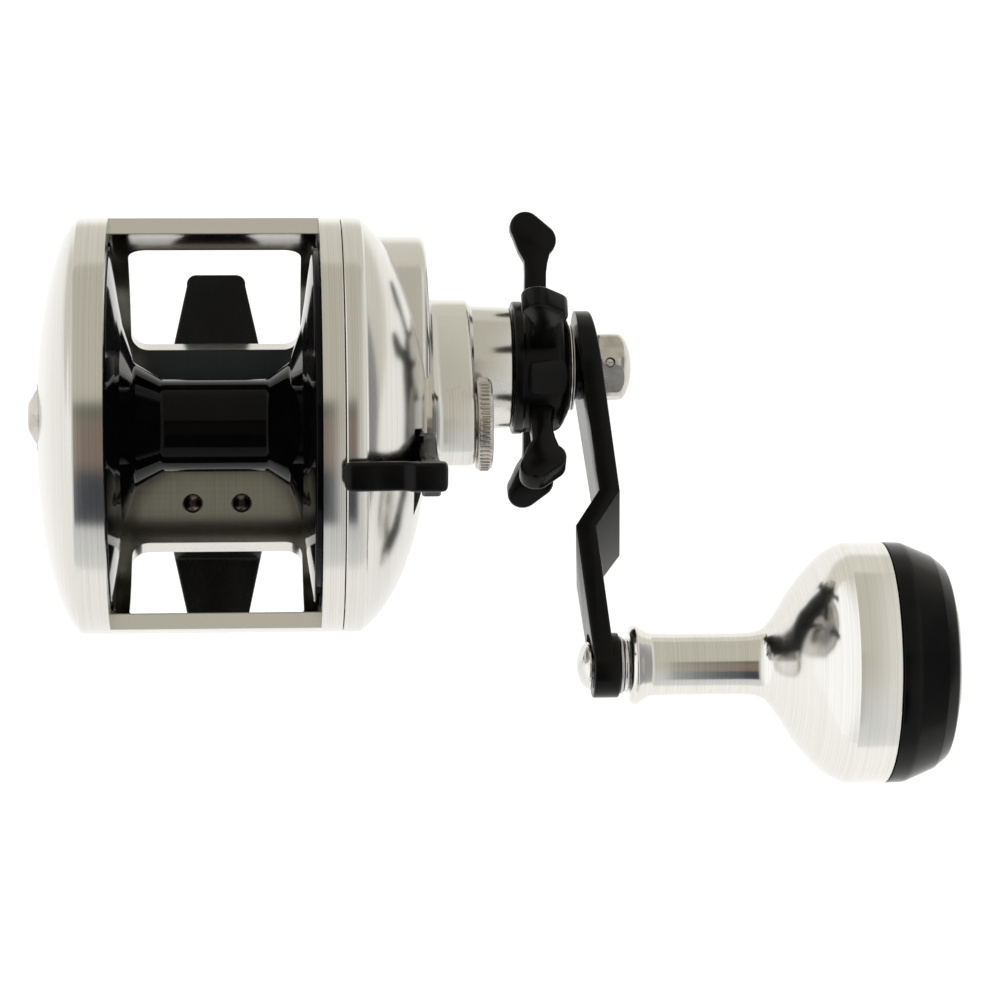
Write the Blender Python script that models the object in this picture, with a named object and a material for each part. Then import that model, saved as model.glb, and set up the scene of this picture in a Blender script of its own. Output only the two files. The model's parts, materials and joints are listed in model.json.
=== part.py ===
"""Trolling reel: an open-frame, star-drag multiplier with a power knob.

Frame of the model: +X runs along the spool axis towards the handle, +Y is forward
towards the rod tip, +Z points away from the rod. The origin is the centre of the
foot's underside. Every size below is in millimetres and MM turns it into metres.
Each mesh is drawn about its own axis, and its object is placed on that axis.
"""
import math

import bmesh
import bpy
from mathutils import Matrix

for leftover in list(bpy.data.objects):
    bpy.data.objects.remove(leftover, do_unlink=True)

MM = 0.001

# ---------------------------------------------------------------- driving sizes
GAP = 0.3                # clearance between pieces that touch or seat
RUN = 0.15               # radial clearance of a running or sliding fit
PRESS = 0.1              # radial clearance under a bearing
STACK_GAP = 0.15         # clearance between washers on a shaft

PLATE_R = 37.2           # outer radius of both side plates and the frame
BORE_R = 33.0            # bore of the two rings, in which the spool runs
BAR_WALL = 2.9           # radial thickness of bars and foot plate
INNER_X = 18.6           # half the distance between the rings' inner faces
LEFT_RING_W = 5.7
RIGHT_RING_W = 3.6
LEFT_DOME_H = 7.8
RIGHT_DOME_H = 12.1
RIGHT_DOME_LEAD = 5.5
PLATE_CHAMFER = 0.6
BAND_W = 3.5             # straight band of the right side plate, before its dome
DOME_WALL = 2.2
AXIS_Z = PLATE_R + 2.5   # spool axis above the foot's underside

WINDOW_X = 15.8          # half width of the windows beside the foot plate
BAR_TOP = 7.5            # bar's upper edge, degrees above the spool axis
BAR_LOW = -13.5          # bar's lower edge
FOOT_PLATE_ANGLE = 32.0  # half angle of the foot plate, from straight down
WINDOW_CORNER = 3.2

FOOT_HALF = 34.2         # half length of the foot
FOOT_BASE_HALF = 8.4     # half width under the frame
FOOT_TIP_HALF = 5.6
FOOT_TONGUE = 2.0        # thickness at the middle of a tongue
FOOT_TIP = 1.2
FOOT_SADDLE_HALF = 19.0  # half length of the part that carries the frame
FOOT_SCREW_X = 4.6
FOOT_SCREW_Y = 10.5
FOOT_SCREW_HEAD_R = 1.65
FOOT_SCREW_R = 1.0

SPOOL_LEFT = -18.5       # inner edge of the left flange, at its rim
SPOOL_RIGHT = 17.5
SPOOL_R = 32.2
ARBOR_R = 8.3
ARBOR_HALF = 9.3
SHAFT_R = 2.5
SHAFT_THIN_R = 2.0       # part of the shaft that runs through the pinion
BEARING_R = 5.5
BEARING_W = 4.0
HUB_X = INNER_X + 4.2    # mouth of the left bearing's pocket, left of the middle
CLICK_GEAR_W = 1.0
CLICK_GEAR_R = 7.5
PIN_R = 0.5              # cross pin between the shaft and the pinion
PIN_REACH = 2.9          # half its length, less than the main gear leaves free

MODULE = 0.6
GEAR_TEETH = 60
PINION_TEETH = 12
PRESSURE_ANGLE = 25.0
BACKLASH = 0.14
CENTRE_DISTANCE = MODULE * (GEAR_TEETH + PINION_TEETH) / 2
CRANK_Y = 12.8           # crank axis, forward of the spool axis
CRANK_DROP = math.sqrt(CENTRE_DISTANCE ** 2 - CRANK_Y ** 2)

CASE_WALL = 2.2
CASE_ROOM = 3.6          # between the case's wall and the main gear's teeth
CASE_R = MODULE * (GEAR_TEETH / 2 + 1) + CASE_ROOM + CASE_WALL
CASE_H = 16.0            # from the plate's left face to the case's end face
BOSS_H = 8.0             # oblong boss beyond the case
BOSS_CRANK_R = 12.6
BOSS_SPOOL_R = 7.5
SLEEVE_H = 7.9           # tapered sleeve beyond the boss
SLEEVE_R = 11.5
SLEEVE_TIP_R = 11.2

CRANK_SHAFT_R = 3.5
CRANK_TIP_R = 3.0        # threaded end, under the handle
CRANK_BEARING_R = 8.6
CRANK_BEARING_W = 3.6
SPACER_R = 5.2
BUSH_R = 5.0
MAIN_GEAR_W = 4.0
GEAR_WEB = 1.0           # floor of the main gear's well
DRAG_R = 14.8
GEAR_PLATE_W = 1.6
RATCHET_W = 1.2
RATCHET_R = 9.0
DOG_POST_R = 0.9
DOG_PIVOT = (11.2, -8.4) # from the crank axis
CAM_W = 0.8
CAM_R = 16.0
YOKE_W = 0.9
YOKE_POST_R = 0.9
YOKE_POST_REACH = 9.2

STAR_COLLAR_R = 12.3
STAR_HUB_R = 10.6
STAR_ARMS = 5
STAR_REACH = 29.2
STAR_W = 10.4            # along X
STAR_NUT_W = 3.0
STAR_NUT_R = 6.0         # to its corners
CRANK_LENGTH = 55.5
ARM_THICK = 3.8
ARM_HUB_R = 10.5
ARM_END_R = 5.8
ARM_SLANT = 0.13         # outward lean for each unit of length
ARM_JOGGLE = 4.4         # inward step at the bend
BEND_START = 24.0        # along the arm, at the height of BEND_HEIGHT
BEND_END = 30.1
BEND_HEIGHT = 8.0
BEND_SKEW = 0.69         # the bend's lean across the arm
WASHER_W = 0.3
NUT_R = 6.4
NUT_FLATS = 11.6         # across flats

KNOB_R = 22.3
KNOB_NECK_R = 5.65
KNOB_FLARE_R = 7.4
KNOB_NECK_L = 17.0
KNOB_CONE_L = 19.0
KNOB_BAND_L = 7.6
KNOB_RING_L = 12.0
KNOB_RING_TIP_R = 18.6
KNOB_TRUMPET = ((0.0, 0.0), (0.2, 0.09), (0.33, 0.225), (0.49, 0.505), (0.65, 0.73), (0.8, 0.885),
                (1.0, 1.0))
KNOB_BUSH_R = 4.2
KNOB_BUSH_W = 2.4
SPINDLE_R = 2.5

CAP_R = 8.5
CAP_W = 2.8
LEVER_ANGLE = 20.5       # lever at rest, behind the top
LEVER_TRAVEL = 20.0
LEVER_W = 5.1
LEVER_FOOT_IN = 16.6
LEVER_FOOT_OUT = 22.4
LEVER_SCREW_R = 1.1
LEVER_SCREW_REACH = 19.4
LEVER_BAR_IN = PLATE_R + 0.8
LEVER_BAR_H = 2.6
LEVER_CLEARANCE = 0.68   # from the dome to the lever's arm
LEVER_ARM_W = 3.3
CLUTCH_TRAVEL = 1.6
BUTTON_Z = 12.8          # click button above the spool axis
BUTTON_TRAVEL = 3.2

# ------------------------------------------------------------- derived stations
RING_LEFT = -(INNER_X + LEFT_RING_W)
SEAM = INNER_X + RIGHT_RING_W
PLATE_X = SEAM + GAP
DOME_X = PLATE_X + BAND_W
CASE_END = PLATE_X + CASE_H
BOSS_END = CASE_END + BOSS_H
SLEEVE_END = BOSS_END + SLEEVE_H
PLATE_CAVITY_R = BORE_R + 0.6

LEFT_BEARING_X = -HUB_X - BEARING_W - PRESS
CLICK_GEAR_X = -(INNER_X + 2.8)                  # left face of the click gear
BUTTON_SEAT = RING_LEFT - LEFT_DOME_H + 1.3      # floor of the recess round the button
RIGHT_BEARING_X = CASE_END + 0.8
CAP_SPIGOT_R = BEARING_R + GAP
CAP_SPIGOT_X = RIGHT_BEARING_X + BEARING_W + 0.8

RATCHET_X = PLATE_X + GEAR_PLATE_W + GAP
MAIN_GEAR_X = RATCHET_X + RATCHET_W + 0.2
CAM_X = MAIN_GEAR_X + MAIN_GEAR_W + 0.35
YOKE_X = CAM_X + CAM_W + 0.45
YOKE_SPRING_END = CASE_END - 3.5
PIN_X = PLATE_X + GEAR_PLATE_W + 1.6
INNER_BEARING_X = CASE_END - CASE_WALL + GAP
OUTER_BEARING_X = SLEEVE_END - CRANK_BEARING_W - GAP
STAR_X = SLEEVE_END + GAP
STAR_NUT_X = STAR_X + 0.2
STAR_END = STAR_X + STAR_W
HANDLE_SEAT = STAR_END + 1.2
NUT_SEAT = HANDLE_SEAT + 4.5
KNOB_SEAT = NUT_SEAT + 2.8
KNOB_X = KNOB_SEAT + 1.9                         # left end of the knob body
LEVER_SLOT_IN = LEVER_FOOT_IN - 0.6
LEVER_SLOT_OUT = LEVER_FOOT_OUT + 0.6


def dome_rise(radius, height, lead, rim):
    """How far an elliptical dome stands over its rim, at a radius.

    lead is how far before the rim the ellipse has its middle.
    """
    reach = height + lead
    wide = rim / math.sqrt(1 - (lead / reach) ** 2)
    return reach * math.sqrt(1 - (radius / wide) ** 2) - lead


LEVER_ARM_X = (DOME_X + LEVER_CLEARANCE
               + dome_rise(LEVER_SLOT_OUT, RIGHT_DOME_H, RIGHT_DOME_LEAD, PLATE_R - PLATE_CHAMFER))

SPOOL_AXIS = (0.0, AXIS_Z)
CRANK_AXIS = (CRANK_Y, AXIS_Z - CRANK_DROP)
KNOB_AXIS = (CRANK_Y - CRANK_LENGTH, AXIS_Z - CRANK_DROP)
MESH_ANGLE = math.atan2(CRANK_DROP, -CRANK_Y)    # from the crank to the spool axis
AWAY = math.degrees(MESH_ANGLE)

# ---------------------------------------------------------------------- finishes
FINISHES = {
    "silver": ((0.72, 0.71, 0.68), 0.28, 1.0),
    "black_gloss": ((0.012, 0.012, 0.014), 0.08, 0.0),
    "black_satin": ((0.02, 0.02, 0.02), 0.35, 0.0),
    "nickel": ((0.55, 0.53, 0.50), 0.25, 1.0),
    "steel": ((0.60, 0.60, 0.61), 0.30, 1.0),
    "brass": ((0.70, 0.52, 0.25), 0.30, 1.0),
    "fibre": ((0.10, 0.09, 0.08), 0.90, 0.0),
}


def finish(name):
    """The Principled material of one finish, made the first time it is asked for."""
    if name in bpy.data.materials:
        return bpy.data.materials[name]
    colour, roughness, metallic = FINISHES[name]
    material = bpy.data.materials.new(name)
    material.use_nodes = True
    shader = material.node_tree.nodes["Principled BSDF"]
    shader.inputs["Base Color"].default_value = (*colour, 1.0)
    shader.inputs["Roughness"].default_value = roughness
    shader.inputs["Metallic"].default_value = metallic
    material.diffuse_color = (*colour, 1.0)
    return material


# ------------------------------------------------------------------ shape makers
def place(name, bm, axis, material):
    """Close a mesh drawn in millimetres and put its object on its own axis."""
    bmesh.ops.remove_doubles(bm, verts=bm.verts, dist=0.0005)
    bmesh.ops.recalc_face_normals(bm, faces=bm.faces)
    bmesh.ops.scale(bm, vec=(MM, MM, MM), verts=bm.verts)
    mesh = bpy.data.meshes.new(name)
    bm.to_mesh(mesh)
    bm.free()
    mesh.materials.append(finish(material))
    solid = bpy.data.objects.new(name, mesh)
    solid.location = (0.0, axis[0] * MM, axis[1] * MM)
    bpy.context.scene.collection.objects.link(solid)
    return smooth(solid)


def smooth(solid):
    solid.data.shade_smooth()
    solid.data.set_sharp_from_angle(angle=math.radians(30))
    return solid


def turned(name, profile, axis, material, segments=32, along="X"):
    """Turn a profile of (station, radius) points about an axis of its own.

    A profile that starts and ends on the axis is left open, any other is a loop.
    """
    bm = bmesh.new()
    spots = [bm.verts.new((station, radius, 0.0)) for station, radius in profile]
    on_axis = profile[0][1] == 0 and profile[-1][1] == 0
    links = list(zip(spots, spots[1:] if on_axis else spots[1:] + spots[:1]))
    edges = [bm.edges.new(pair) for pair in links]
    bmesh.ops.spin(bm, geom=spots + edges, cent=(0, 0, 0), axis=(1, 0, 0),
                   angle=math.tau, steps=segments, use_merge=True)
    if along == "Z":
        bmesh.ops.rotate(bm, verts=bm.verts, cent=(0, 0, 0), matrix=Matrix.Rotation(-math.pi / 2, 3, "Y"))
    return place(name, bm, axis, material)


def ring(name, x0, x1, inner, outer, axis, material, segments=32):
    profile = [(x0, inner), (x0, outer), (x1, outer), (x1, inner)]
    return turned(name, profile, axis, material, segments)


def rod(name, x0, x1, radius, axis, material, segments=16):
    return turned(name, [(x0, 0), (x0, radius), (x1, radius), (x1, 0)], axis, material, segments)


def prism(name, outline, x0, x1, axis, material, bevel=0.0):
    """Extrude an outline of (y, z) points from x0 to x1."""
    bm = bmesh.new()
    base = bm.faces.new([bm.verts.new((x0, y, z)) for y, z in outline])
    top = bmesh.ops.extrude_face_region(bm, geom=[base])
    moved = [item for item in top["geom"] if isinstance(item, bmesh.types.BMVert)]
    bmesh.ops.translate(bm, verts=moved, vec=(x1 - x0, 0, 0))
    if bevel:
        rims = [edge for edge in bm.edges if abs(edge.verts[0].co.x - edge.verts[1].co.x) < 1e-6]
        bmesh.ops.bevel(bm, geom=rims, offset=bevel, segments=2, profile=0.5, affect="EDGES")
    return place(name, bm, axis, material)


def arc(centre, radius, start, end, steps):
    """Points of (y, z) along an arc, with its angles in degrees."""
    points = []
    for step in range(steps + 1):
        angle = math.radians(start + (end - start) * step / steps)
        points.append((centre[0] + radius * math.cos(angle), centre[1] + radius * math.sin(angle)))
    return points


def belt(first, first_r, second, second_r, steps=12):
    """Outline of two circles joined by their outer tangents."""
    across = (second[0] - first[0], second[1] - first[1])
    heading = math.degrees(math.atan2(across[1], across[0]))
    lean = math.degrees(math.acos((first_r - second_r) / math.hypot(*across)))
    far = arc(second, second_r, heading - lean, heading + lean, steps)
    near = arc(first, first_r, heading + lean, heading - lean + 360, steps)
    return far + near


def box(name, low, high, axis, material, bevel=0.0):
    bm = bmesh.new()
    bmesh.ops.create_cube(bm, size=1.0)
    size = [b - a for a, b in zip(low, high)]
    bmesh.ops.scale(bm, vec=size, verts=bm.verts)
    bmesh.ops.translate(bm, verts=bm.verts, vec=[(a + b) / 2 for a, b in zip(low, high)])
    if bevel:
        bmesh.ops.bevel(bm, geom=bm.edges[:], offset=bevel, segments=2, profile=0.5, affect="EDGES")
    return place(name, bm, axis, material)


def combine(body, tool, operation="DIFFERENCE"):
    """Cut a tool solid out of a body, or join it on, and remove the tool."""
    step = body.modifiers.new(operation, "BOOLEAN")
    step.operation = operation
    step.solver = "EXACT"
    step.object = tool
    bpy.context.view_layer.update()
    evaluated = body.evaluated_get(bpy.context.evaluated_depsgraph_get())
    shaped = bpy.data.meshes.new_from_object(evaluated)
    body.modifiers.clear()
    body.data = shaped
    bpy.data.objects.remove(tool, do_unlink=True)
    return smooth(body)


def join(body, *tools):
    for tool in tools:
        combine(body, tool, "UNION")
    return body


def cut(body, *tools):
    for tool in tools:
        combine(body, tool)
    return body


def turn_mesh(solid, degrees, axis="X"):
    """Turn a solid's mesh about its own origin."""
    solid.data.transform(Matrix.Rotation(math.radians(degrees), 4, axis))
    return solid


def dome(base, height, lead, rim, direction, steps):
    """Profile of an elliptical dome, from its rim to the axis."""
    points = []
    for step in range(steps + 1):
        radius = rim * math.cos(math.pi / 2 * step / steps)
        radius = 0.0 if step == steps else radius
        points.append((base + direction * dome_rise(radius, height, lead, rim), radius))
    return points


def gear_outline(teeth, phase, addendum=0.9, dedendum=1.25, flank=3):
    """Involute gear outline about the origin; phase is a tooth's middle, in radians."""
    pitch_r = MODULE * teeth / 2
    pressure = math.radians(PRESSURE_ANGLE)
    base_r = pitch_r * math.cos(pressure)
    root_r = pitch_r - dedendum * MODULE
    tip_r = pitch_r + addendum * MODULE
    half_pitch = (math.pi * MODULE / 2 - BACKLASH) / 2 / pitch_r
    involute = math.tan(pressure) - pressure

    def half_width(radius):
        if radius <= base_r:
            return half_pitch + involute
        local = math.acos(base_r / radius)
        return half_pitch + involute - (math.tan(local) - local)

    start = max(root_r, base_r)
    radii = [root_r] if root_r < base_r else []
    radii += [start + (tip_r - start) * step / flank for step in range(flank + 1)]
    outline = []
    for tooth in range(teeth):
        middle = phase + math.tau * tooth / teeth
        rising = [(radius, middle - half_width(radius)) for radius in radii]
        falling = [(radius, middle + half_width(radius)) for radius in reversed(radii)]
        outline += [(r * math.cos(a), r * math.sin(a)) for r, a in rising + falling]
    return outline


def sector(name, x_half, start, end, inner, outer, corner):
    """A block between two angles about the spool axis, its radial edges rounded."""
    bm = bmesh.new()
    corners = {}
    for x in (-x_half, x_half):
        for angle in (start, end):
            for radius in (inner, outer):
                turn = math.radians(angle)
                corners[x, angle, radius] = bm.verts.new((x, radius * math.cos(turn),
                                                          radius * math.sin(turn)))
    loop = [(-x_half, start), (x_half, start), (x_half, end), (-x_half, end)]
    bm.faces.new([corners[x, angle, inner] for x, angle in loop])
    bm.faces.new([corners[x, angle, outer] for x, angle in loop])
    for (x0, a0), (x1, a1) in zip(loop, loop[1:] + loop[:1]):
        bm.faces.new([corners[x0, a0, inner], corners[x1, a1, inner], corners[x1, a1, outer],
                      corners[x0, a0, outer]])
    if corner:
        radial = [bm.edges.get((corners[x, a, inner], corners[x, a, outer])) for x, a in loop]
        bmesh.ops.bevel(bm, geom=radial, offset=corner, segments=4, profile=0.5, affect="EDGES")
    return place(name, bm, SPOOL_AXIS, "silver")


# ----------------------------------------------------------------------- frame
def make_frame():
    """One-piece frame: left dome, two rings, two bars and the foot plate."""
    chamfer = 0.5
    tube_r = PLATE_R - BAR_WALL
    pocket_r = BEARING_R + RUN
    hub_r = pocket_r + 1.8
    hub_end = -HUB_X
    pocket_end = hub_end - BEARING_W - GAP
    left = dome(RING_LEFT, LEFT_DOME_H, 1.8, PLATE_R - chamfer, -1, 5)
    outer = list(reversed(left))
    outer += [(RING_LEFT + chamfer, PLATE_R), (-INNER_X - chamfer, PLATE_R), (-INNER_X, PLATE_R - chamfer)]
    outer += [(INNER_X, PLATE_R - chamfer), (INNER_X + chamfer, PLATE_R), (SEAM, PLATE_R)]
    inner = [(SEAM, BORE_R), (INNER_X, BORE_R), (INNER_X - 0.2, tube_r), (-INNER_X + 0.2, tube_r)]
    inner += [(-INNER_X, BORE_R)]
    hollow = dome(RING_LEFT + 0.8, LEFT_DOME_H - DOME_WALL, 1.8, BORE_R, -1, 4)
    inner += [(x, r) for x, r in hollow if r > hub_r + 1.0]
    inner += [(hollow[-2][0], hub_r), (hub_end, hub_r), (hub_end, pocket_r), (pocket_end, pocket_r),
              (pocket_end, 0)]
    frame = turned("frame", outer + inner, SPOOL_AXIS, "silver", segments=40)
    far = 60.0
    opening = [(0, 0)] + [(far * math.cos(math.radians(a)), far * math.sin(math.radians(a)))
                          for a in (BAR_TOP, 60, 120, 180 - BAR_TOP)]
    cut(frame, prism("spool_opening", opening, -INNER_X, INNER_X, SPOOL_AXIS, "silver"))
    low_edge = -90 + FOOT_PLATE_ANGLE
    for start, end in ((low_edge, BAR_LOW), (180 - BAR_LOW, 180 - low_edge)):
        cut(frame, sector("window", WINDOW_X, start, end, tube_r - 12, PLATE_R + 11, WINDOW_CORNER))
    seat_z = math.sqrt(tube_r ** 2 - (abs(FOOT_SCREW_Y) - FOOT_SCREW_HEAD_R) ** 2)
    for x, y in foot_screw_spots():
        head = [(-seat_z + 1.2, 0), (-seat_z + 1.2, FOOT_SCREW_HEAD_R + GAP),
                (-seat_z - 0.2, FOOT_SCREW_HEAD_R + GAP), (-seat_z - 0.2, FOOT_SCREW_R + RUN),
                (-PLATE_R - 2, FOOT_SCREW_R + RUN), (-PLATE_R - 2, 0)]
        hole = turned("screw_hole", head, SPOOL_AXIS, "silver", 16, along="Z")
        hole.location.x, hole.location.y = x * MM, y * MM
        cut(frame, hole)
    for spot in plate_screw_spots():
        profile = [(INNER_X - 1, 0), (INNER_X - 1, 1.5), (INNER_X + 1.3, 1.5), (INNER_X + 1.3, 0.8 + RUN),
                   (SEAM + 1, 0.8 + RUN), (SEAM + 1, 0)]
        cut(frame, turned("plate_screw_hole", profile, spot, "silver", 12))
    slot = belt((0, BUTTON_Z), 1.75, (0, BUTTON_Z - BUTTON_TRAVEL), 1.75, 8)
    recess = belt((0, BUTTON_Z), 6.3, (0, BUTTON_Z - BUTTON_TRAVEL), 6.3, 16)
    cut(frame, prism("button_slot", slot, -40, hub_end - 4, SPOOL_AXIS, "silver"))
    cut(frame, prism("button_recess", recess, -40, BUTTON_SEAT, SPOOL_AXIS, "silver"))
    return frame


def foot_screw_spots():
    return [(x, y) for x in (-FOOT_SCREW_X, FOOT_SCREW_X) for y in (FOOT_SCREW_Y, -FOOT_SCREW_Y)]


def plate_screw_spots():
    """Axes of the side-plate screws, in the wall between the bore and the rim."""
    radius = (PLATE_R + BORE_R + 0.6) / 2
    spots = []
    for angle in (20, 68, 112, 160):
        turn = math.radians(angle)
        spots.append((radius * math.cos(turn), AXIS_Z + radius * math.sin(turn)))
    return spots


def make_foot():
    """Reel foot: a saddle under the frame and a tapered tongue at each end."""
    side = [(-FOOT_HALF, 0), (FOOT_HALF, 0), (FOOT_HALF, FOOT_TIP),
            (FOOT_SADDLE_HALF + 1.5, FOOT_TONGUE + 0.6),
            (FOOT_SADDLE_HALF, FOOT_TONGUE + 4.5), (-FOOT_SADDLE_HALF, FOOT_TONGUE + 4.5),
            (-FOOT_SADDLE_HALF - 1.5, FOOT_TONGUE + 0.6), (-FOOT_HALF, FOOT_TIP)]
    foot = prism("reel_foot", side, -FOOT_BASE_HALF, FOOT_BASE_HALF, (0, 0), "black_satin")
    corner = 1.8
    taper = math.degrees(math.atan2(FOOT_BASE_HALF - FOOT_TIP_HALF, FOOT_HALF - FOOT_SADDLE_HALF))
    quarter = arc((FOOT_TIP_HALF - corner, FOOT_HALF - corner), corner, -taper, 90, 5)
    base = [(FOOT_BASE_HALF, FOOT_SADDLE_HALF)]
    right = base + quarter
    plan = right + [(-x, y) for x, y in reversed(right)]
    plan = plan + [(-x, -y) for x, y in plan]
    bm = bmesh.new()
    face = bm.faces.new([bm.verts.new((x, y, -5)) for x, y in plan])
    top = bmesh.ops.extrude_face_region(bm, geom=[face])
    moved = [item for item in top["geom"] if isinstance(item, bmesh.types.BMVert)]
    bmesh.ops.translate(bm, verts=moved, vec=(0, 0, 20))
    combine(foot, place("foot_plan", bm, (0, 0), "black_satin"), "INTERSECT")
    saddle = rod("saddle_bed", -30, 30, PLATE_R + GAP, SPOOL_AXIS, "black_satin", 80)
    cut(foot, saddle)
    for x, y in foot_screw_spots():
        hole = turned("foot_screw_hole", [(0.8, 0), (0.8, FOOT_SCREW_R + RUN), (9, FOOT_SCREW_R + RUN),
                                          (9, 0)],
                      (0, 0), "black_satin", 12, along="Z")
        hole.location.x, hole.location.y = x * MM, y * MM
        cut(foot, hole)
    return foot


def make_foot_screws():
    tube_r = PLATE_R - BAR_WALL
    seat = AXIS_Z - math.sqrt(tube_r ** 2 - (FOOT_SCREW_Y - FOOT_SCREW_HEAD_R) ** 2) - 0.2 + GAP
    profile = [(1.1, 0), (1.1, FOOT_SCREW_R), (seat, FOOT_SCREW_R), (seat, FOOT_SCREW_HEAD_R),
               (seat + 0.5, FOOT_SCREW_HEAD_R), (seat + 1.1, FOOT_SCREW_HEAD_R * 0.62), (seat + 1.25, 0)]
    for number, (x, y) in enumerate(foot_screw_spots(), 1):
        screw = turned("foot_screw_%d" % number, profile, (0, 0), "black_satin", 12, along="Z")
        screw.location.x, screw.location.y = x * MM, y * MM


def make_plate_screws():
    profile = [(INNER_X + 0.3, 0), (INNER_X + 0.3, 1.3), (INNER_X + 1.1, 1.3), (INNER_X + 1.1, 0.8),
               (PLATE_X + BAND_W - 1.0, 0.8), (PLATE_X + BAND_W - 1.0, 0)]
    for number, spot in enumerate(plate_screw_spots(), 1):
        turned("side_plate_screw_%d" % number, profile, spot, "steel", 10)


# ------------------------------------------------------------- right side plate
def make_side_plate():
    """Right side plate with the gear case, the oblong boss and the crank sleeve."""
    outer = [(PLATE_X, 0), (PLATE_X, PLATE_R - 0.3), (PLATE_X + 0.3, PLATE_R), (DOME_X, PLATE_R)]
    outer += dome(DOME_X, RIGHT_DOME_H, RIGHT_DOME_LEAD, PLATE_R - PLATE_CHAMFER, 1, 5)
    plate = turned("side_plate", outer, SPOOL_AXIS, "silver", segments=40)
    case_profile = [(PLATE_X, 0), (PLATE_X, CASE_R), (CASE_END - 1.2, CASE_R),
                    (CASE_END - 0.35, CASE_R - 0.35),
                    (CASE_END, CASE_R - 1.2), (CASE_END, 0)]
    join(plate, turned("case", case_profile, CRANK_AXIS, "silver", 28))
    link = (-CRANK_Y, CRANK_DROP)
    boss = belt((0, 0), BOSS_CRANK_R, link, BOSS_SPOOL_R, 9)
    join(plate, prism("boss", boss, CASE_END - 5, BOSS_END, CRANK_AXIS, "silver"))
    sleeve = [(BOSS_END - 2, 0), (BOSS_END - 2, SLEEVE_R), (SLEEVE_END - 0.5, SLEEVE_TIP_R),
              (SLEEVE_END, SLEEVE_TIP_R - 0.5), (SLEEVE_END, 0)]
    join(plate, turned("sleeve", sleeve, CRANK_AXIS, "silver", 24))

    hollow = [(PLATE_X - 2, 0), (PLATE_X - 2, PLATE_CAVITY_R), (DOME_X + 0.4, PLATE_CAVITY_R)]
    hollow += dome(DOME_X + 0.4, RIGHT_DOME_H - DOME_WALL - 0.4, RIGHT_DOME_LEAD, PLATE_CAVITY_R - 0.4, 1, 4)
    room = turned("room", hollow, SPOOL_AXIS, "silver", segments=28)
    case_room_r = CASE_R - CASE_WALL
    join(room, rod("case_room", PLATE_X - 2, CASE_END - CASE_WALL, case_room_r, CRANK_AXIS, "silver", 24))
    spool_bores = [(CASE_END - 7, 0), (CASE_END - 7, 5.0), (RIGHT_BEARING_X - GAP, 5.0),
                   (RIGHT_BEARING_X - GAP, BEARING_R + RUN), (CAP_SPIGOT_X - 0.4, BEARING_R + RUN),
                   (CAP_SPIGOT_X - 0.4, CAP_SPIGOT_R + RUN), (BOSS_END + 1,
                                                              CAP_SPIGOT_R + RUN), (BOSS_END + 1, 0)]
    join(room, turned("spool_bores", spool_bores, SPOOL_AXIS, "silver", 16))
    crank_bores = [(CASE_END - 6, 0), (CASE_END - 6, CRANK_BEARING_R + RUN),
                   (INNER_BEARING_X + CRANK_BEARING_W + GAP, CRANK_BEARING_R + RUN),
                   (INNER_BEARING_X + CRANK_BEARING_W + GAP,
                    SPACER_R + 0.6), (OUTER_BEARING_X - GAP, SPACER_R + 0.6),
                   (OUTER_BEARING_X - GAP, CRANK_BEARING_R + RUN), (SLEEVE_END + 1, CRANK_BEARING_R + RUN),
                   (SLEEVE_END + 1, 0)]
    join(room, turned("crank_bores", crank_bores, CRANK_AXIS, "silver", 20))
    cut(plate, room)

    middle = 90 + LEVER_ANGLE
    slot = arc((0, 0), LEVER_SLOT_OUT, middle - 11, middle + LEVER_TRAVEL + 11, 10)
    slot += arc((0, 0), LEVER_SLOT_IN, middle + LEVER_TRAVEL + 11, middle - 11, 8)
    cut(plate, prism("lever_slot", slot, DOME_X + 2, BOSS_END, SPOOL_AXIS, "silver"))
    for spot in plate_screw_spots():
        cut(plate, rod("plate_screw_bore", PLATE_X - 1, DOME_X - 0.7, 0.8 + RUN, spot, "silver", 12))
    return plate


def radial(angle, radius):
    """(y, z) at an angle from the forward direction, in degrees."""
    turn = math.radians(angle)
    return (radius * math.cos(turn), radius * math.sin(turn))


def make_gear_plate():
    """Plate that closes the case's back, with its posts for the cam and the dog."""
    rim = PLATE_CAVITY_R - GAP
    plate = rod("gear_plate", PLATE_X, PLATE_X + GEAR_PLATE_W, rim, SPOOL_AXIS, "silver", 28)
    case_rim = CASE_R - CASE_WALL - GAP
    join(plate, rod("case_back", PLATE_X, PLATE_X + GEAR_PLATE_W, case_rim, CRANK_AXIS, "silver", 24))
    cut(plate, rod("shaft_way", PLATE_X - 1, PLATE_X + 3, 5.0, SPOOL_AXIS, "silver", 16))
    cut(plate, rod("bush_hole", PLATE_X - 1, PLATE_X + 3, BUSH_R + RUN, CRANK_AXIS, "silver", 16))
    for angle in (AWAY - 100, AWAY - 40, AWAY + 36, AWAY + 100):
        y, z = radial(angle, CAM_R + 1.4)
        post = rod("post", PLATE_X + 1, CAM_X + CAM_W + 0.4, 1.2, (y, AXIS_Z + z), "silver", 8)
        join(plate, post)
    join(plate, rod("dog_post", PLATE_X + 1, RATCHET_X + RATCHET_W - 0.05, DOG_POST_R, dog_pivot(),
                    "silver", 12))
    return plate


def dog_pivot():
    return (CRANK_AXIS[0] + DOG_PIVOT[0], CRANK_AXIS[1] + DOG_PIVOT[1])


def make_bearing(name, x0, width, inner, outer, axis):
    """Ball bearing, drawn as one plain ring."""
    return ring(name, x0, x0 + width, inner, outer, axis, "steel", 20)


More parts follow.
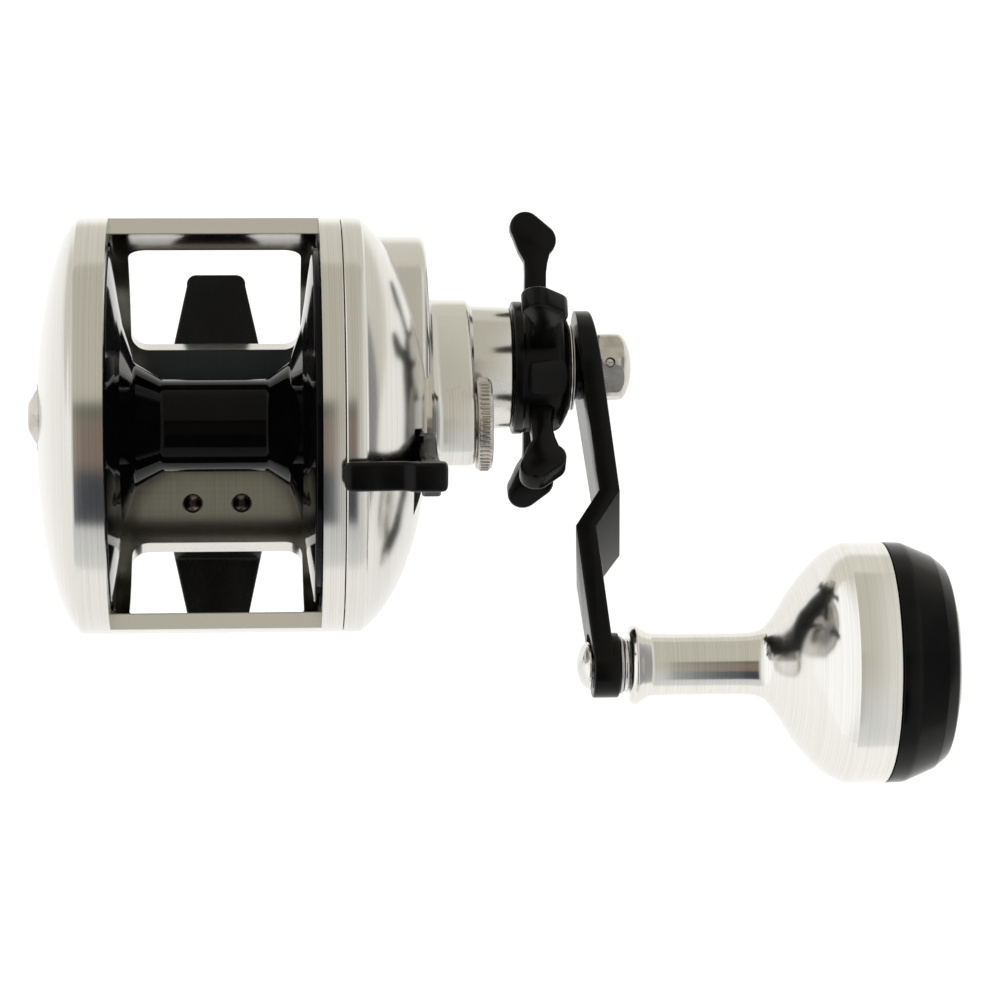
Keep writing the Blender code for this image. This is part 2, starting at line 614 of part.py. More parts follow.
# ----------------------------------------------------------------------- spool
def make_spool():
    """Spool: arbor, two dished flanges with stepped cones, hollow outer sides."""
    wall = 1.4
    rim_w = 1.8

    def flange(edge, side):
        inner = [(side * ARBOR_HALF, ARBOR_R), (edge - side * 4.2, ARBOR_R + 3.1),
                 (edge - side * 2.0, ARBOR_R + 10.0), (edge - side * 0.1, SPOOL_R - 0.3)]
        outer = [(edge + side * 0.1, SPOOL_R), (edge + side * rim_w, SPOOL_R),
                 (edge + side * rim_w, SPOOL_R - 1.6),
                 (edge + side * (wall - 0.1), SPOOL_R - 2.2), (edge - side * (2.0 - wall), ARBOR_R + 8.6),
                 (edge - side * (4.2 - wall), ARBOR_R + 0.8)]
        return inner + outer

    bore = SHAFT_R + RUN
    right = flange(SPOOL_RIGHT, 1)
    left = flange(SPOOL_LEFT, -1)
    hub_r = 4.4
    right += [(SPOOL_RIGHT - 2.8, hub_r), (SPOOL_RIGHT + 1.6, hub_r), (SPOOL_RIGHT + 1.6, bore)]
    left += [(SPOOL_LEFT + 2.8, hub_r), (CLICK_GEAR_X - 0.1, hub_r), (CLICK_GEAR_X - 0.1, bore)]
    return turned("spool", right + list(reversed(left)), SPOOL_AXIS, "black_gloss", segments=32)


def make_click_gear():
    """Ratchet on the spool's left hub, read by the click pawl."""
    teeth = 20
    outline = []
    for tooth in range(teeth):
        for share, radius in ((0.0, CLICK_GEAR_R), (0.35, CLICK_GEAR_R), (0.5, CLICK_GEAR_R - 1.0),
                              (0.85, CLICK_GEAR_R - 1.0)):
            outline.append(radial(360 * (tooth + share) / teeth, radius))
    gear = prism("click_gear", outline, CLICK_GEAR_X, CLICK_GEAR_X + CLICK_GEAR_W, SPOOL_AXIS, "brass")
    return cut(gear, rod("hub_bore", CLICK_GEAR_X - 1, CLICK_GEAR_X + 3, 4.4 + RUN, SPOOL_AXIS, "brass",
                         24))


def make_spool_shaft():
    left = LEFT_BEARING_X + 0.2
    step = PLATE_X + GEAR_PLATE_W + 0.2
    profile = [(left, 0), (left, SHAFT_R), (step, SHAFT_R), (step, SHAFT_THIN_R),
               (RIGHT_BEARING_X + BEARING_W + 0.1, SHAFT_THIN_R), (RIGHT_BEARING_X + BEARING_W + 0.1, 0)]
    shaft = turned("spool_shaft", profile, SPOOL_AXIS, "steel", 20)
    hole = rod("pin_hole", -4, 4, PIN_R + 0.1, (0, 0), "steel", 12)
    turn_mesh(hole, 90, "Z")
    hole.location = (PIN_X * MM, 0, AXIS_Z * MM)
    return cut(shaft, hole)


def make_drive_pin():
    """Cross pin of the spool shaft, which the pinion's slot takes hold of."""
    pin = rod("drive_pin", -PIN_REACH, PIN_REACH, PIN_R, (0, 0), "steel", 12)
    turn_mesh(pin, 90, "Z")
    pin.location = (PIN_X * MM, 0, AXIS_Z * MM)


def make_tension_cap():
    """Knurled spool-tension cap, with its spigot in the boss."""
    teeth = 32
    outline = []
    for tooth in range(teeth):
        outline += [radial(360 * (tooth + share) / teeth, radius)
                    for share, radius in ((0.0, CAP_R), (0.5, CAP_R - 0.4))]
    start = BOSS_END + GAP
    cap = prism("tension_cap", outline, start, start + CAP_W, SPOOL_AXIS, "nickel")
    return join(cap, rod("spigot", CAP_SPIGOT_X, start + 1, CAP_SPIGOT_R, SPOOL_AXIS, "nickel", 16))


# ---------------------------------------------------------------------- clutch
def make_pinion():
    """Pinion: teeth, a groove for the yoke and a slotted end for the drive pin."""
    start = PIN_X - 0.7
    phase = MESH_ANGLE + math.pi + math.pi / PINION_TEETH
    pinion = prism("pinion", gear_outline(PINION_TEETH, phase), start, YOKE_X - 0.2, SPOOL_AXIS, "brass")
    neck = [(YOKE_X - 0.6, 0), (YOKE_X - 0.6, 2.8), (YOKE_X + YOKE_W + 0.2, 2.8),
            (YOKE_X + YOKE_W + 0.2, 3.8),
            (YOKE_X + YOKE_W + 1.2, 3.8), (YOKE_X + YOKE_W + 1.2, 0)]
    join(pinion, turned("neck", neck, SPOOL_AXIS, "brass", 24))
    bore = rod("bore", start - 1, YOKE_X + 6, SHAFT_THIN_R + RUN, SPOOL_AXIS, "brass", 20)
    half = PIN_R + RUN
    slot = box("slot", (start - 1, -6, -half), (PIN_X + PIN_R + 0.15, 6, half), SPOOL_AXIS, "brass")
    cut(pinion, bore, slot)
    return pinion


def make_yoke():
    """Clutch yoke: a bar that rides on two posts and sits in the pinion's groove."""
    reach = YOKE_POST_REACH + 2.4
    outline = [(-2.2, -reach), (2.2, -reach), (2.2, reach), (-2.2, reach)]
    yoke = prism("clutch_yoke", outline, YOKE_X, YOKE_X + YOKE_W, SPOOL_AXIS, "steel")
    join(yoke, rod("middle", YOKE_X, YOKE_X + YOKE_W, 5.4, SPOOL_AXIS, "steel", 24))
    cut(yoke, rod("grip", YOKE_X - 1, YOKE_X + 3, 2.8 + RUN, SPOOL_AXIS, "steel", 20))
    cut(yoke, box("mouth", (YOKE_X - 1, -8, -2.95), (YOKE_X + 3, 0, 2.95), SPOOL_AXIS, "steel"))
    for side in (-1, 1):
        spot = (0, AXIS_Z + side * YOKE_POST_REACH)
        cut(yoke, rod("post_hole", YOKE_X - 1, YOKE_X + 3, YOKE_POST_R + RUN, spot, "steel", 14))
    return turn_mesh(yoke, AWAY)


def yoke_post_spots():
    spots = []
    for side in (90, -90):
        y, z = radial(AWAY + side, YOKE_POST_REACH)
        spots.append((y, AXIS_Z + z))
    return spots


def make_yoke_posts():
    for number, spot in enumerate(yoke_post_spots(), 1):
        post = [(YOKE_X + 0.1, 0), (YOKE_X + 0.1, YOKE_POST_R), (YOKE_SPRING_END, YOKE_POST_R),
                (YOKE_SPRING_END, 0)]
        turned("yoke_post_%d" % number, post, spot, "steel", 12)
        make_spring("yoke_spring_%d" % number, YOKE_X + YOKE_W + 0.25, YOKE_SPRING_END - 0.1, 1.45, 0.17,
                    3, spot)


def make_spring(name, x0, x1, coil_r, wire_r, turns, axis):
    """Compression spring along X, a helix of round wire."""
    steps = 10 * turns
    curve = bpy.data.curves.new(name, "CURVE")
    curve.dimensions = "3D"
    curve.bevel_depth = wire_r * MM
    curve.bevel_resolution = 0
    curve.use_fill_caps = True
    line = curve.splines.new("POLY")
    line.points.add(steps)
    for step, point in enumerate(line.points):
        turn = math.tau * turns * step / steps
        x = x0 + wire_r + (x1 - x0 - 2 * wire_r) * step / steps
        point.co = (x * MM, coil_r * math.cos(turn) * MM, coil_r * math.sin(turn) * MM, 1.0)
    curve.materials.append(finish("steel"))
    spring = bpy.data.objects.new(name, curve)
    spring.location = (0.0, axis[0] * MM, axis[1] * MM)
    bpy.context.scene.collection.objects.link(spring)
    return spring


def make_cam():
    """Clutch cam: a ring under the yoke, two ramps and the tab of the lever."""
    cam = ring("clutch_cam", CAM_X, CAM_X + CAM_W, 5.9, CAM_R, SPOOL_AXIS, "steel", 28)
    middle = 90 + LEVER_ANGLE
    tab = arc((0, 0), LEVER_FOOT_OUT, middle - 7, middle + 7, 4) + arc((0, 0), CAM_R - 1, middle + 7,
                                                                       middle - 7, 4)
    join(cam, prism("tab", tab, CAM_X, CAM_X + CAM_W, SPOOL_AXIS, "steel"))
    for side in (90, -90):
        join(cam, ramp(AWAY + side))
    spot = radial(middle, LEVER_SCREW_REACH)
    return cut(cam, rod("screw_hole", CAM_X - 1, CAM_X + 2, LEVER_SCREW_R + RUN,
                        (spot[0], AXIS_Z + spot[1]), "steel", 12))


def ramp(ear):
    """Wedge on the cam that lifts one ear of the yoke over the lever's travel."""
    bm = bmesh.new()
    low, high = 6.6, YOKE_POST_REACH + 1.6
    lead = math.degrees(math.asin(2.2 / low)) + 1.5
    rise = CLUTCH_TRAVEL - 0.1
    loops = []
    for share in range(5):
        angle = ear - lead - LEVER_TRAVEL * share / 4
        height = CAM_X + CAM_W + rise * share / 4
        near, far = radial(angle, low), radial(angle, high)
        floor = CAM_X + 0.2
        corners = [(floor, *near), (height, *near), (height, *far), (floor, *far)]
        loops.append([bm.verts.new(corner) for corner in corners])
    for first, second in zip(loops, loops[1:]):
        for a in range(4):
            b = (a + 1) % 4
            bm.faces.new([first[a], first[b], second[b], second[a]])
    bm.faces.new(loops[0])
    bm.faces.new(list(reversed(loops[-1])))
    return place("ramp", bm, SPOOL_AXIS, "steel")


def make_lever():
    """Free-spool lever: a thumb bar over the rim, an arm and a foot on the cam."""
    bar_out = LEVER_BAR_IN + LEVER_BAR_H
    half = LEVER_W / 2
    bar = box("clutch_lever", (SEAM - 0.1, -half, LEVER_BAR_IN),
              (LEVER_ARM_X + LEVER_ARM_W + 1.0, half, bar_out), SPOOL_AXIS,
              "black_satin", bevel=0.6)
    plan = [(-3.3, LEVER_FOOT_IN + 0.4), (3.3, LEVER_FOOT_IN + 0.4), (3.6, 21.5), (4.4, 30), (4.2, 36.5),
            (half - 0.4, LEVER_BAR_IN + 1), (-half + 0.4, LEVER_BAR_IN + 1), (-4.2, 36.5), (-4.4, 30),
            (-3.6, 21.5)]
    join(bar, prism("arm", plan, LEVER_ARM_X, LEVER_ARM_X + LEVER_ARM_W, SPOOL_AXIS, "black_satin"))
    foot_outline = [(-3.0, LEVER_FOOT_IN + 0.4), (3.0, LEVER_FOOT_IN + 0.4), (3.0, LEVER_FOOT_OUT - 0.4),
                    (-3.0, LEVER_FOOT_OUT - 0.4)]
    join(bar, prism("foot", foot_outline, CAM_X + CAM_W + GAP, LEVER_ARM_X + 1, SPOOL_AXIS, "black_satin"))
    spot = (0, AXIS_Z + LEVER_SCREW_REACH)
    bore = [(0, 0), (0, LEVER_SCREW_R + RUN), (LEVER_ARM_X + 1.6, LEVER_SCREW_R + RUN),
            (LEVER_ARM_X + 1.6, 2.1), (60, 2.1), (60, 0)]
    cut(bar, turned("screw_way", bore, spot, "black_satin", 16))
    return turn_mesh(bar, LEVER_ANGLE)


def make_lever_screw():
    y, z = radial(90 + LEVER_ANGLE, LEVER_SCREW_REACH)
    seat = LEVER_ARM_X + 1.6 + GAP
    profile = [(CAM_X + 0.1, 0), (CAM_X + 0.1, LEVER_SCREW_R), (seat, LEVER_SCREW_R), (seat, 1.9),
               (seat + 1.1, 1.9), (seat + 1.1, 0)]
    turned("lever_screw", profile, (y, AXIS_Z + z), "steel", 14)


# ----------------------------------------------------------------------- click
def make_click():
    """Click button on the left dome, its pawl and the spring of the pawl."""
    profile = [(BUTTON_SEAT - GAP, 0), (BUTTON_SEAT - GAP, 5.6), (BUTTON_SEAT - 0.8, 5.6),
               (BUTTON_SEAT - 2.5, 3.2),
               (BUTTON_SEAT - 2.7, 2.9), (BUTTON_SEAT - 2.7, 0)]
    axis = (0, AXIS_Z + BUTTON_Z)
    button = turned("click_button", profile, axis, "nickel", 28)
    stem_end = CLICK_GEAR_X + 0.1
    stem = rod("stem", BUTTON_SEAT - 1, stem_end - GAP, 1.5, axis, "nickel", 16)
    join(button, stem)
    stop = CLICK_GEAR_R + BUTTON_TRAVEL + 0.5
    tip = stop - BUTTON_Z
    outline = [(0.3, tip), (1.9, tip + 1.8), (1.9, 1.9), (-1.9, 1.9), (-1.9, tip + 1.8), (-0.3, tip)]
    prism("click_pawl", outline, stem_end, stem_end + CLICK_GEAR_W, axis, "brass")
    spring_x = CLICK_GEAR_X - 1.6
    outer = arc((0, 0), 3.2, -60, 240, 14)
    inner = arc((0, 0), 2.8, 240, -60, 14)
    spring = [(y, z + 2.6) for y, z in outer + inner]
    prism("click_spring", spring, spring_x, spring_x + 0.6, (0, AXIS_Z + BUTTON_Z + 6), "steel")


# ----------------------------------------------------------------------- drive
def make_gear_shaft():
    start = PLATE_X - 1.4
    end = NUT_SEAT + 4.4
    profile = [(start, 0), (start, CRANK_SHAFT_R), (HANDLE_SEAT - 1.6, CRANK_SHAFT_R),
               (HANDLE_SEAT - 1.6, CRANK_TIP_R),
               (end - 0.4, CRANK_TIP_R), (end, CRANK_TIP_R - 0.4), (end, 0)]
    turned("gear_shaft", profile, CRANK_AXIS, "steel", 20)
    ring("gear_shaft_bush", start, PLATE_X + GEAR_PLATE_W, CRANK_SHAFT_R + RUN, BUSH_R, CRANK_AXIS,
         "brass", 24)


def make_ratchet():
    teeth = 16
    outline = []
    for tooth in range(teeth):
        outline.append(radial(360 * tooth / teeth, RATCHET_R))
        outline.append(radial(360 * (tooth + 0.12) / teeth, RATCHET_R - 1.6))
    wheel = prism("ratchet_wheel", outline, RATCHET_X, RATCHET_X + RATCHET_W, CRANK_AXIS, "steel")
    hole = rod("hole", RATCHET_X - 1, RATCHET_X + 3, CRANK_SHAFT_R + RUN, CRANK_AXIS, "steel", 20)
    return cut(wheel, hole)


def make_dog():
    """Anti-reverse dog, at rest held just clear of the ratchet's teeth."""
    tip = (-1.54, 10.99)
    outline = belt((0, 0), 2.0, tip, 0.6, 8)
    dog = prism("anti_reverse_dog", outline, RATCHET_X, RATCHET_X + RATCHET_W - 0.1, dog_pivot(), "steel")
    return cut(dog, rod("pivot", RATCHET_X - 1, RATCHET_X + 3, DOG_POST_R + RUN, dog_pivot(), "steel", 14))


def make_main_gear():
    gear = prism("main_gear", gear_outline(GEAR_TEETH, MESH_ANGLE, flank=1), MAIN_GEAR_X,
                 MAIN_GEAR_X + MAIN_GEAR_W,
                 CRANK_AXIS, "brass")
    well = rod("drag_well", MAIN_GEAR_X + GEAR_WEB, MAIN_GEAR_X + MAIN_GEAR_W + 1, DRAG_R + 0.4, CRANK_AXIS,
               "brass", 24)
    bore = rod("bore", MAIN_GEAR_X - 1, MAIN_GEAR_X + 3, CRANK_SHAFT_R + 0.5, CRANK_AXIS, "brass", 16)
    return cut(gear, well, bore)


def make_drag_stack():
    """Drag washers in the main gear's well, the pressure washer and the springs."""
    x = MAIN_GEAR_X + GEAR_WEB + STACK_GAP
    bore = CRANK_SHAFT_R + 0.3
    stack = (("fibre_drag_washer_1", 0.5, DRAG_R, "fibre"),
             ("steel_drag_washer", 0.5, DRAG_R - 0.2, "steel"),
             ("fibre_drag_washer_2", 0.5, DRAG_R, "fibre"), ("pressure_washer", 1.0, DRAG_R - 1.0, "steel"))
    for name, width, radius, material in stack:
        ring(name, x, x + width, bore, radius, CRANK_AXIS, material, 20)
        x += width + STACK_GAP
    cone = 0.5
    outer = CENTRE_DISTANCE - CAM_R - GAP
    profile = [(x, bore), (x + cone, outer), (x + cone + 0.4, outer), (x + 0.4, bore)]
    turned("spring_washer", profile, CRANK_AXIS, "steel", 20)
    x += cone + 0.4 + STACK_GAP
    ring("spacer_sleeve", x, STAR_NUT_X - STACK_GAP, bore, SPACER_R, CRANK_AXIS, "steel", 20)


def hexagon(radius):
    return [radial(60 * side, radius) for side in range(6)]


def make_star():
    """Star drag wheel: collar, hub and five paddle arms, round a hexagonal nut."""
    profile = [(STAR_X, 0), (STAR_X, STAR_COLLAR_R - 0.4), (STAR_X + 0.4, STAR_COLLAR_R),
               (STAR_X + 1.7, STAR_COLLAR_R), (STAR_X + 1.9,
                                               STAR_HUB_R + 0.6), (STAR_END - 2.2, STAR_HUB_R + 0.6),
               (STAR_END, STAR_HUB_R - 1.6), (STAR_END, 0)]
    star = turned("star_drag_wheel", profile, CRANK_AXIS, "black_satin", 24)
    for arm in range(STAR_ARMS):
        join(star, star_arm(360 / STAR_ARMS * arm))
    nut = [(y * 1.06, z * 1.06) for y, z in hexagon(STAR_NUT_R)]
    cut(star, prism("nut_pocket", nut, STAR_X - 1, STAR_NUT_X + STAR_NUT_W + 0.2, CRANK_AXIS,
                    "black_satin"))
    return cut(star, rod("bore", STAR_X - 1, STAR_END + 1, CRANK_SHAFT_R + RUN, CRANK_AXIS, "black_satin",
                         20))


def star_arm(angle):
    """One paddle: a neck and a bulb of two lobes, broad along X."""
    neck_x = (STAR_X + 2.6, STAR_X + 6.8)
    arm = box("arm", (neck_x[0], 8, -2.0), (neck_x[1], STAR_REACH - 3, 2.0), CRANK_AXIS, "black_satin")
    lobes = belt((STAR_X + 2.9, STAR_REACH - 2.9), 2.9, (STAR_X + 5.4, STAR_REACH - 5.5), 3.2, 9)
    bm = bmesh.new()
    face = bm.faces.new([bm.verts.new((x, y, -1.9)) for x, y in lobes])
    top = bmesh.ops.extrude_face_region(bm, geom=[face])
    moved = [item for item in top["geom"] if isinstance(item, bmesh.types.BMVert)]
    bmesh.ops.translate(bm, verts=moved, vec=(0, 0, 3.8))
    join(arm, place("lobes", bm, CRANK_AXIS, "black_satin"))
    return turn_mesh(arm, angle)


def make_star_nut():
    nut = prism("star_nut", hexagon(STAR_NUT_R), STAR_NUT_X, STAR_NUT_X + STAR_NUT_W, CRANK_AXIS, "steel")
    bore = rod("bore", STAR_NUT_X - 1, STAR_NUT_X + 9, CRANK_SHAFT_R + RUN, CRANK_AXIS, "steel", 20)
    return cut(nut, bore)


def handle_offset(along, across):
    """X of the arm's outer face at a place on the arm."""
    bend = BEND_START + (BEND_HEIGHT - across) * BEND_SKEW
    run = BEND_END - BEND_START
    step = min(max((along - bend) / run, 0.0), 1.0)
    return NUT_SEAT - 0.2 + ARM_SLANT * along - (ARM_JOGGLE + run * ARM_SLANT) * step


def make_handle_arm():
    """Crank arm: a leaning bar with a slanted joggle, and a boss at each end."""
    outline = belt((0, 0), ARM_HUB_R, (-CRANK_LENGTH, 0), ARM_END_R, 12)
    bm = bmesh.new()
    face = bm.faces.new([bm.verts.new((0, y, z)) for y, z in outline])
    top = bmesh.ops.extrude_face_region(bm, geom=[face])
    moved = [item for item in top["geom"] if isinstance(item, bmesh.types.BMVert)]
    bmesh.ops.translate(bm, verts=moved, vec=(-ARM_THICK, 0, 0))
    normal = (0, 1, -BEND_SKEW)
    for along in (BEND_START, BEND_END):
        spot = (0, -(along + BEND_HEIGHT * BEND_SKEW), 0)
        geometry = bm.verts[:] + bm.edges[:] + bm.faces[:]
        bmesh.ops.bisect_plane(bm, geom=geometry, plane_co=spot, plane_no=normal, dist=1e-5)
    for vert in bm.verts:
        vert.co.x += handle_offset(-vert.co.y, vert.co.z)
    arm = place("handle_arm", bm, CRANK_AXIS, "black_satin")
    cut(arm, rod("inner_face", HANDLE_SEAT - 9, HANDLE_SEAT + 0.15, ARM_HUB_R + 3, CRANK_AXIS,
                 "black_satin", 24))
    cut(arm, rod("nut_face", NUT_SEAT - 0.3, NUT_SEAT + 9, NUT_R + 0.5, CRANK_AXIS, "black_satin", 20))
    join(arm, rod("hub", HANDLE_SEAT, NUT_SEAT - 0.9, 6.0, CRANK_AXIS, "black_satin", 20))
    cut(arm, rod("spindle_face", KNOB_SEAT - 14, KNOB_SEAT - 4.6, ARM_END_R, KNOB_AXIS, "black_satin", 24))
    cut(arm, rod("knob_face", KNOB_SEAT - 0.2, KNOB_SEAT + 9, ARM_END_R + 1, KNOB_AXIS, "black_satin", 24))
    join(arm, rod("end", KNOB_SEAT - 4.8, KNOB_SEAT, ARM_END_R + 0.2, KNOB_AXIS, "black_satin", 24))
    cut(arm, rod("shaft_hole", HANDLE_SEAT - 5, NUT_SEAT + 5, CRANK_TIP_R + RUN, CRANK_AXIS, "black_satin",
                 20))
    cut(arm, rod("knob_hole", KNOB_SEAT - 9, KNOB_SEAT + 5, SPINDLE_R + RUN, KNOB_AXIS, "black_satin", 16))
    return arm


def make_handle_washers():
    for number in (1, 2):
        x = STAR_END + 0.2 + (number - 1) * (WASHER_W + STACK_GAP)
        ring("handle_washer_%d" % number, x, x + WASHER_W, CRANK_TIP_R + RUN, 8.0, CRANK_AXIS, "steel", 24)


def make_handle_nut():
    """Acorn nut with six flats, and the small screw that locks it."""
    seat = NUT_SEAT - 0.3 + GAP
    profile = [(seat, 0), (seat, NUT_R - 0.3), (seat + 0.3, NUT_R)]
    profile += [(seat + 3.3 + 2.9 * math.sin(math.radians(a)), NUT_R * math.cos(math.radians(a)))
                for a in (0, 25, 50, 72)] + [(seat + 6.2, 0)]
    nut = turned("handle_nut", profile, CRANK_AXIS, "nickel", 20)
    flats = [radial(60 * side + 30, NUT_FLATS / 2 / math.cos(math.pi / 6)) for side in range(6)]
    hexagonal = prism("flats", flats, seat - 1, seat + 9, CRANK_AXIS, "nickel")
    combine(nut, hexagonal, "INTERSECT")
    cut(nut, rod("thread", seat - 1, NUT_SEAT + 4.7, CRANK_TIP_R + RUN, CRANK_AXIS, "nickel", 20))
    hole = turned("lock_hole", [(4.2, 0), (4.2, 0.95), (12, 0.95), (12, 0)], CRANK_AXIS, "nickel", 12,
                  along="Z")
    hole.location.x = (seat + 1.8) * MM
    cut(nut, hole)
    screw = turned("nut_lock_screw", [(4.3, 0), (4.3, 0.8), (5.7, 0.8), (5.9, 0.6), (5.9, 0)], CRANK_AXIS,
                   "steel", 12, along="Z")
    screw.location.x = (seat + 1.8) * MM


# ------------------------------------------------------------------------ knob
def make_knob():
    """Power knob: flared neck, trumpet cone, wide band, black end ring and cap."""
    neck_end = KNOB_X + 3.6 + KNOB_NECK_L
    cone_end = neck_end + KNOB_CONE_L
    profile = [(KNOB_X, 0), (KNOB_X, KNOB_FLARE_R - 1.2), (KNOB_X + 0.5, KNOB_FLARE_R - 0.2),
               (KNOB_X + 1.2, KNOB_FLARE_R), (KNOB_X + 2.2,
                                              KNOB_FLARE_R - 0.5), (KNOB_X + 3.6, KNOB_NECK_R + 0.2),
               (KNOB_X + 4.8, KNOB_NECK_R)]
    for share, rise in KNOB_TRUMPET:
        profile.append((neck_end + KNOB_CONE_L * share, KNOB_NECK_R + (KNOB_R - KNOB_NECK_R) * rise))
    band_end = cone_end + KNOB_BAND_L
    profile += [(band_end, KNOB_R), (band_end, 12.0), (cone_end + 1, 12.0), (cone_end + 1, 0)]
    body = turned("knob_body", profile, KNOB_AXIS, "silver", 28)
    pocket = KNOB_BUSH_R + RUN
    ways = [(KNOB_X - 1, 0), (KNOB_X - 1, pocket), (KNOB_X + KNOB_BUSH_W + 0.4, pocket),
            (KNOB_X + KNOB_BUSH_W + 0.4, SPINDLE_R + 0.4), (cone_end - KNOB_BUSH_W, SPINDLE_R + 0.4),
            (cone_end - KNOB_BUSH_W, pocket), (cone_end + 2, pocket), (cone_end + 2, 0)]
    cut(body, turned("spindle_way", ways, KNOB_AXIS, "silver", 16))
    make_bearing("knob_bearing_1", KNOB_X + 0.2, KNOB_BUSH_W, SPINDLE_R + RUN, KNOB_BUSH_R, KNOB_AXIS)
    make_bearing("knob_bearing_2", cone_end + 0.2 - KNOB_BUSH_W + GAP, KNOB_BUSH_W, SPINDLE_R + RUN,
                 KNOB_BUSH_R,
                 KNOB_AXIS)
    spindle_end = cone_end + 4.4
    head = KNOB_SEAT - 4.8 - GAP
    spindle = [(head - 2.5, 0)] + [(head - 2.5 * math.cos(math.radians(a)), 4.4 * math.sin(math.radians(a)))
                                   for a in (20, 45, 70, 90)]
    spindle += [(head, SPINDLE_R), (spindle_end, SPINDLE_R), (spindle_end, 0)]
    turned("knob_spindle", spindle, KNOB_AXIS, "nickel", 20)
    ring("knob_washer_1", KNOB_SEAT + 0.15, KNOB_SEAT + 0.75, SPINDLE_R + RUN, 5.3, KNOB_AXIS, "nickel", 20)
    ring("knob_washer_2", KNOB_SEAT + 0.9, KNOB_SEAT + 1.7, SPINDLE_R + RUN, 5.0, KNOB_AXIS, "nickel", 20)
    nut = prism("knob_nut", hexagon(4.4), cone_end + 1.3, cone_end + 3.9, KNOB_AXIS, "steel")
    cut(nut, rod("thread", cone_end, cone_end + 6, SPINDLE_R + 0.1, KNOB_AXIS, "steel", 16))

    start = band_end + 0.2
    end = start + KNOB_RING_L
    grip = [(start - 4.0, 9.0), (start - 4.0, 11.6), (start, 11.6), (start, KNOB_R), (start + 3.4, KNOB_R),
            (end - 2.6, KNOB_RING_TIP_R + 1.2), (end - 0.8,
                                                 KNOB_RING_TIP_R - 1.2), (end, 14.8), (end - 0.6, 14.2),
            (end - 2.2, 14.2), (end - 2.2, 9.0)]
    turned("knob_grip_ring", grip, KNOB_AXIS, "black_gloss", 28)
    lobes = []
    for step in range(36):
        angle = 360 * step / 36
        lobes.append(radial(angle, 13.0 + 0.7 * math.cos(math.radians(6 * angle))))
    cap = prism("knob_end_cap", lobes, end - 2.0, end + 0.6, KNOB_AXIS, "nickel")
    crown = [(end, 0), (end, 11.5), (end + 1.2, 8.0), (end + 1.8, 4.0), (end + 2.0, 0)]
    join(cap, turned("crown", crown, KNOB_AXIS, "nickel", 24))


# ---------------------------------------------------------------------- assembly
def build():
    make_frame()
    make_foot()
    make_foot_screws()
    make_side_plate()
    make_plate_screws()
    make_gear_plate()
    make_bearing("left_spool_bearing", LEFT_BEARING_X, BEARING_W, SHAFT_R + PRESS, BEARING_R, SPOOL_AXIS)
    make_bearing("right_spool_bearing", RIGHT_BEARING_X, BEARING_W, SHAFT_THIN_R + PRESS, BEARING_R,
                 SPOOL_AXIS)
    make_bearing("inner_crank_bearing", INNER_BEARING_X, CRANK_BEARING_W, SPACER_R + PRESS,
                 CRANK_BEARING_R, CRANK_AXIS)
    make_bearing("outer_crank_bearing", OUTER_BEARING_X, CRANK_BEARING_W, SPACER_R + PRESS,
                 CRANK_BEARING_R, CRANK_AXIS)
    make_spool()
    make_click_gear()
    make_spool_shaft()
    make_drive_pin()
    make_tension_cap()
    make_pinion()
    make_yoke()
    make_yoke_posts()
    make_cam()
    make_lever()
    make_lever_screw()
    make_click()
    make_gear_shaft()
    make_ratchet()
    make_dog()
    make_main_gear()
    make_drag_stack()
    make_star()
    make_star_nut()
    make_handle_arm()
    make_handle_washers()
    make_handle_nut()
    make_knob()


build()
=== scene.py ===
"""Looks of the trolling reel: finely turned pieces over the CAD nodes, materials, lights and camera.

Pieces are drawn in millimetres in the row frame and scaled to metres when they are made.
X runs along the spool axis towards the handle, Y is forward and Z points away from the rod.
"""

import json
import math

import bmesh
import bpy
from mathutils import Matrix, Vector


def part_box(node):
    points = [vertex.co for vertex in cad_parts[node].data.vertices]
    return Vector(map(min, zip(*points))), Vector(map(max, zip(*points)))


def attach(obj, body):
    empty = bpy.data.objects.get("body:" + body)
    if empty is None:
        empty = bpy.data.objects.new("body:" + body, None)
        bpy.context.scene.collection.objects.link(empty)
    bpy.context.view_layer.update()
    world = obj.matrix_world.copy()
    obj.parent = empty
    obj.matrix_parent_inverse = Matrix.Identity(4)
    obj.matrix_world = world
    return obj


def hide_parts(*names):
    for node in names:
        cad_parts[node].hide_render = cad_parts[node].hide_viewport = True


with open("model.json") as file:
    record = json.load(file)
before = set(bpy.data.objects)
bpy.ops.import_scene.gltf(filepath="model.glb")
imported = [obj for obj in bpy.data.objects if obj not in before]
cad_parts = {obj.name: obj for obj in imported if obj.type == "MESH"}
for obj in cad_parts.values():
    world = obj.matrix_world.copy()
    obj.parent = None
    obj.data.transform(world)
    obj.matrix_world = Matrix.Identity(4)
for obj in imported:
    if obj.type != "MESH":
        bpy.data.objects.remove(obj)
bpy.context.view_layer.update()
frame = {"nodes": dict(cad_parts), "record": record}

MM = 0.001
RECORD = frame["record"]
SLOT_OF = {entry["node"]: entry["material_slot"] for entry in RECORD["subparts"]}
BODY_OF = {node: body for body, nodes in RECORD["behaviour"]["bodies"].items() for node in nodes}


def low(node):
    """Lowest corner of a CAD node, in millimetres."""
    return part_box(node)[0] / MM


def high(node):
    """Highest corner of a CAD node, in millimetres."""
    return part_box(node)[1] / MM


def middle(node):
    """(y, z) of a CAD node's middle, in millimetres."""
    centre = (low(node) + high(node)) / 2
    return (centre.y, centre.z)


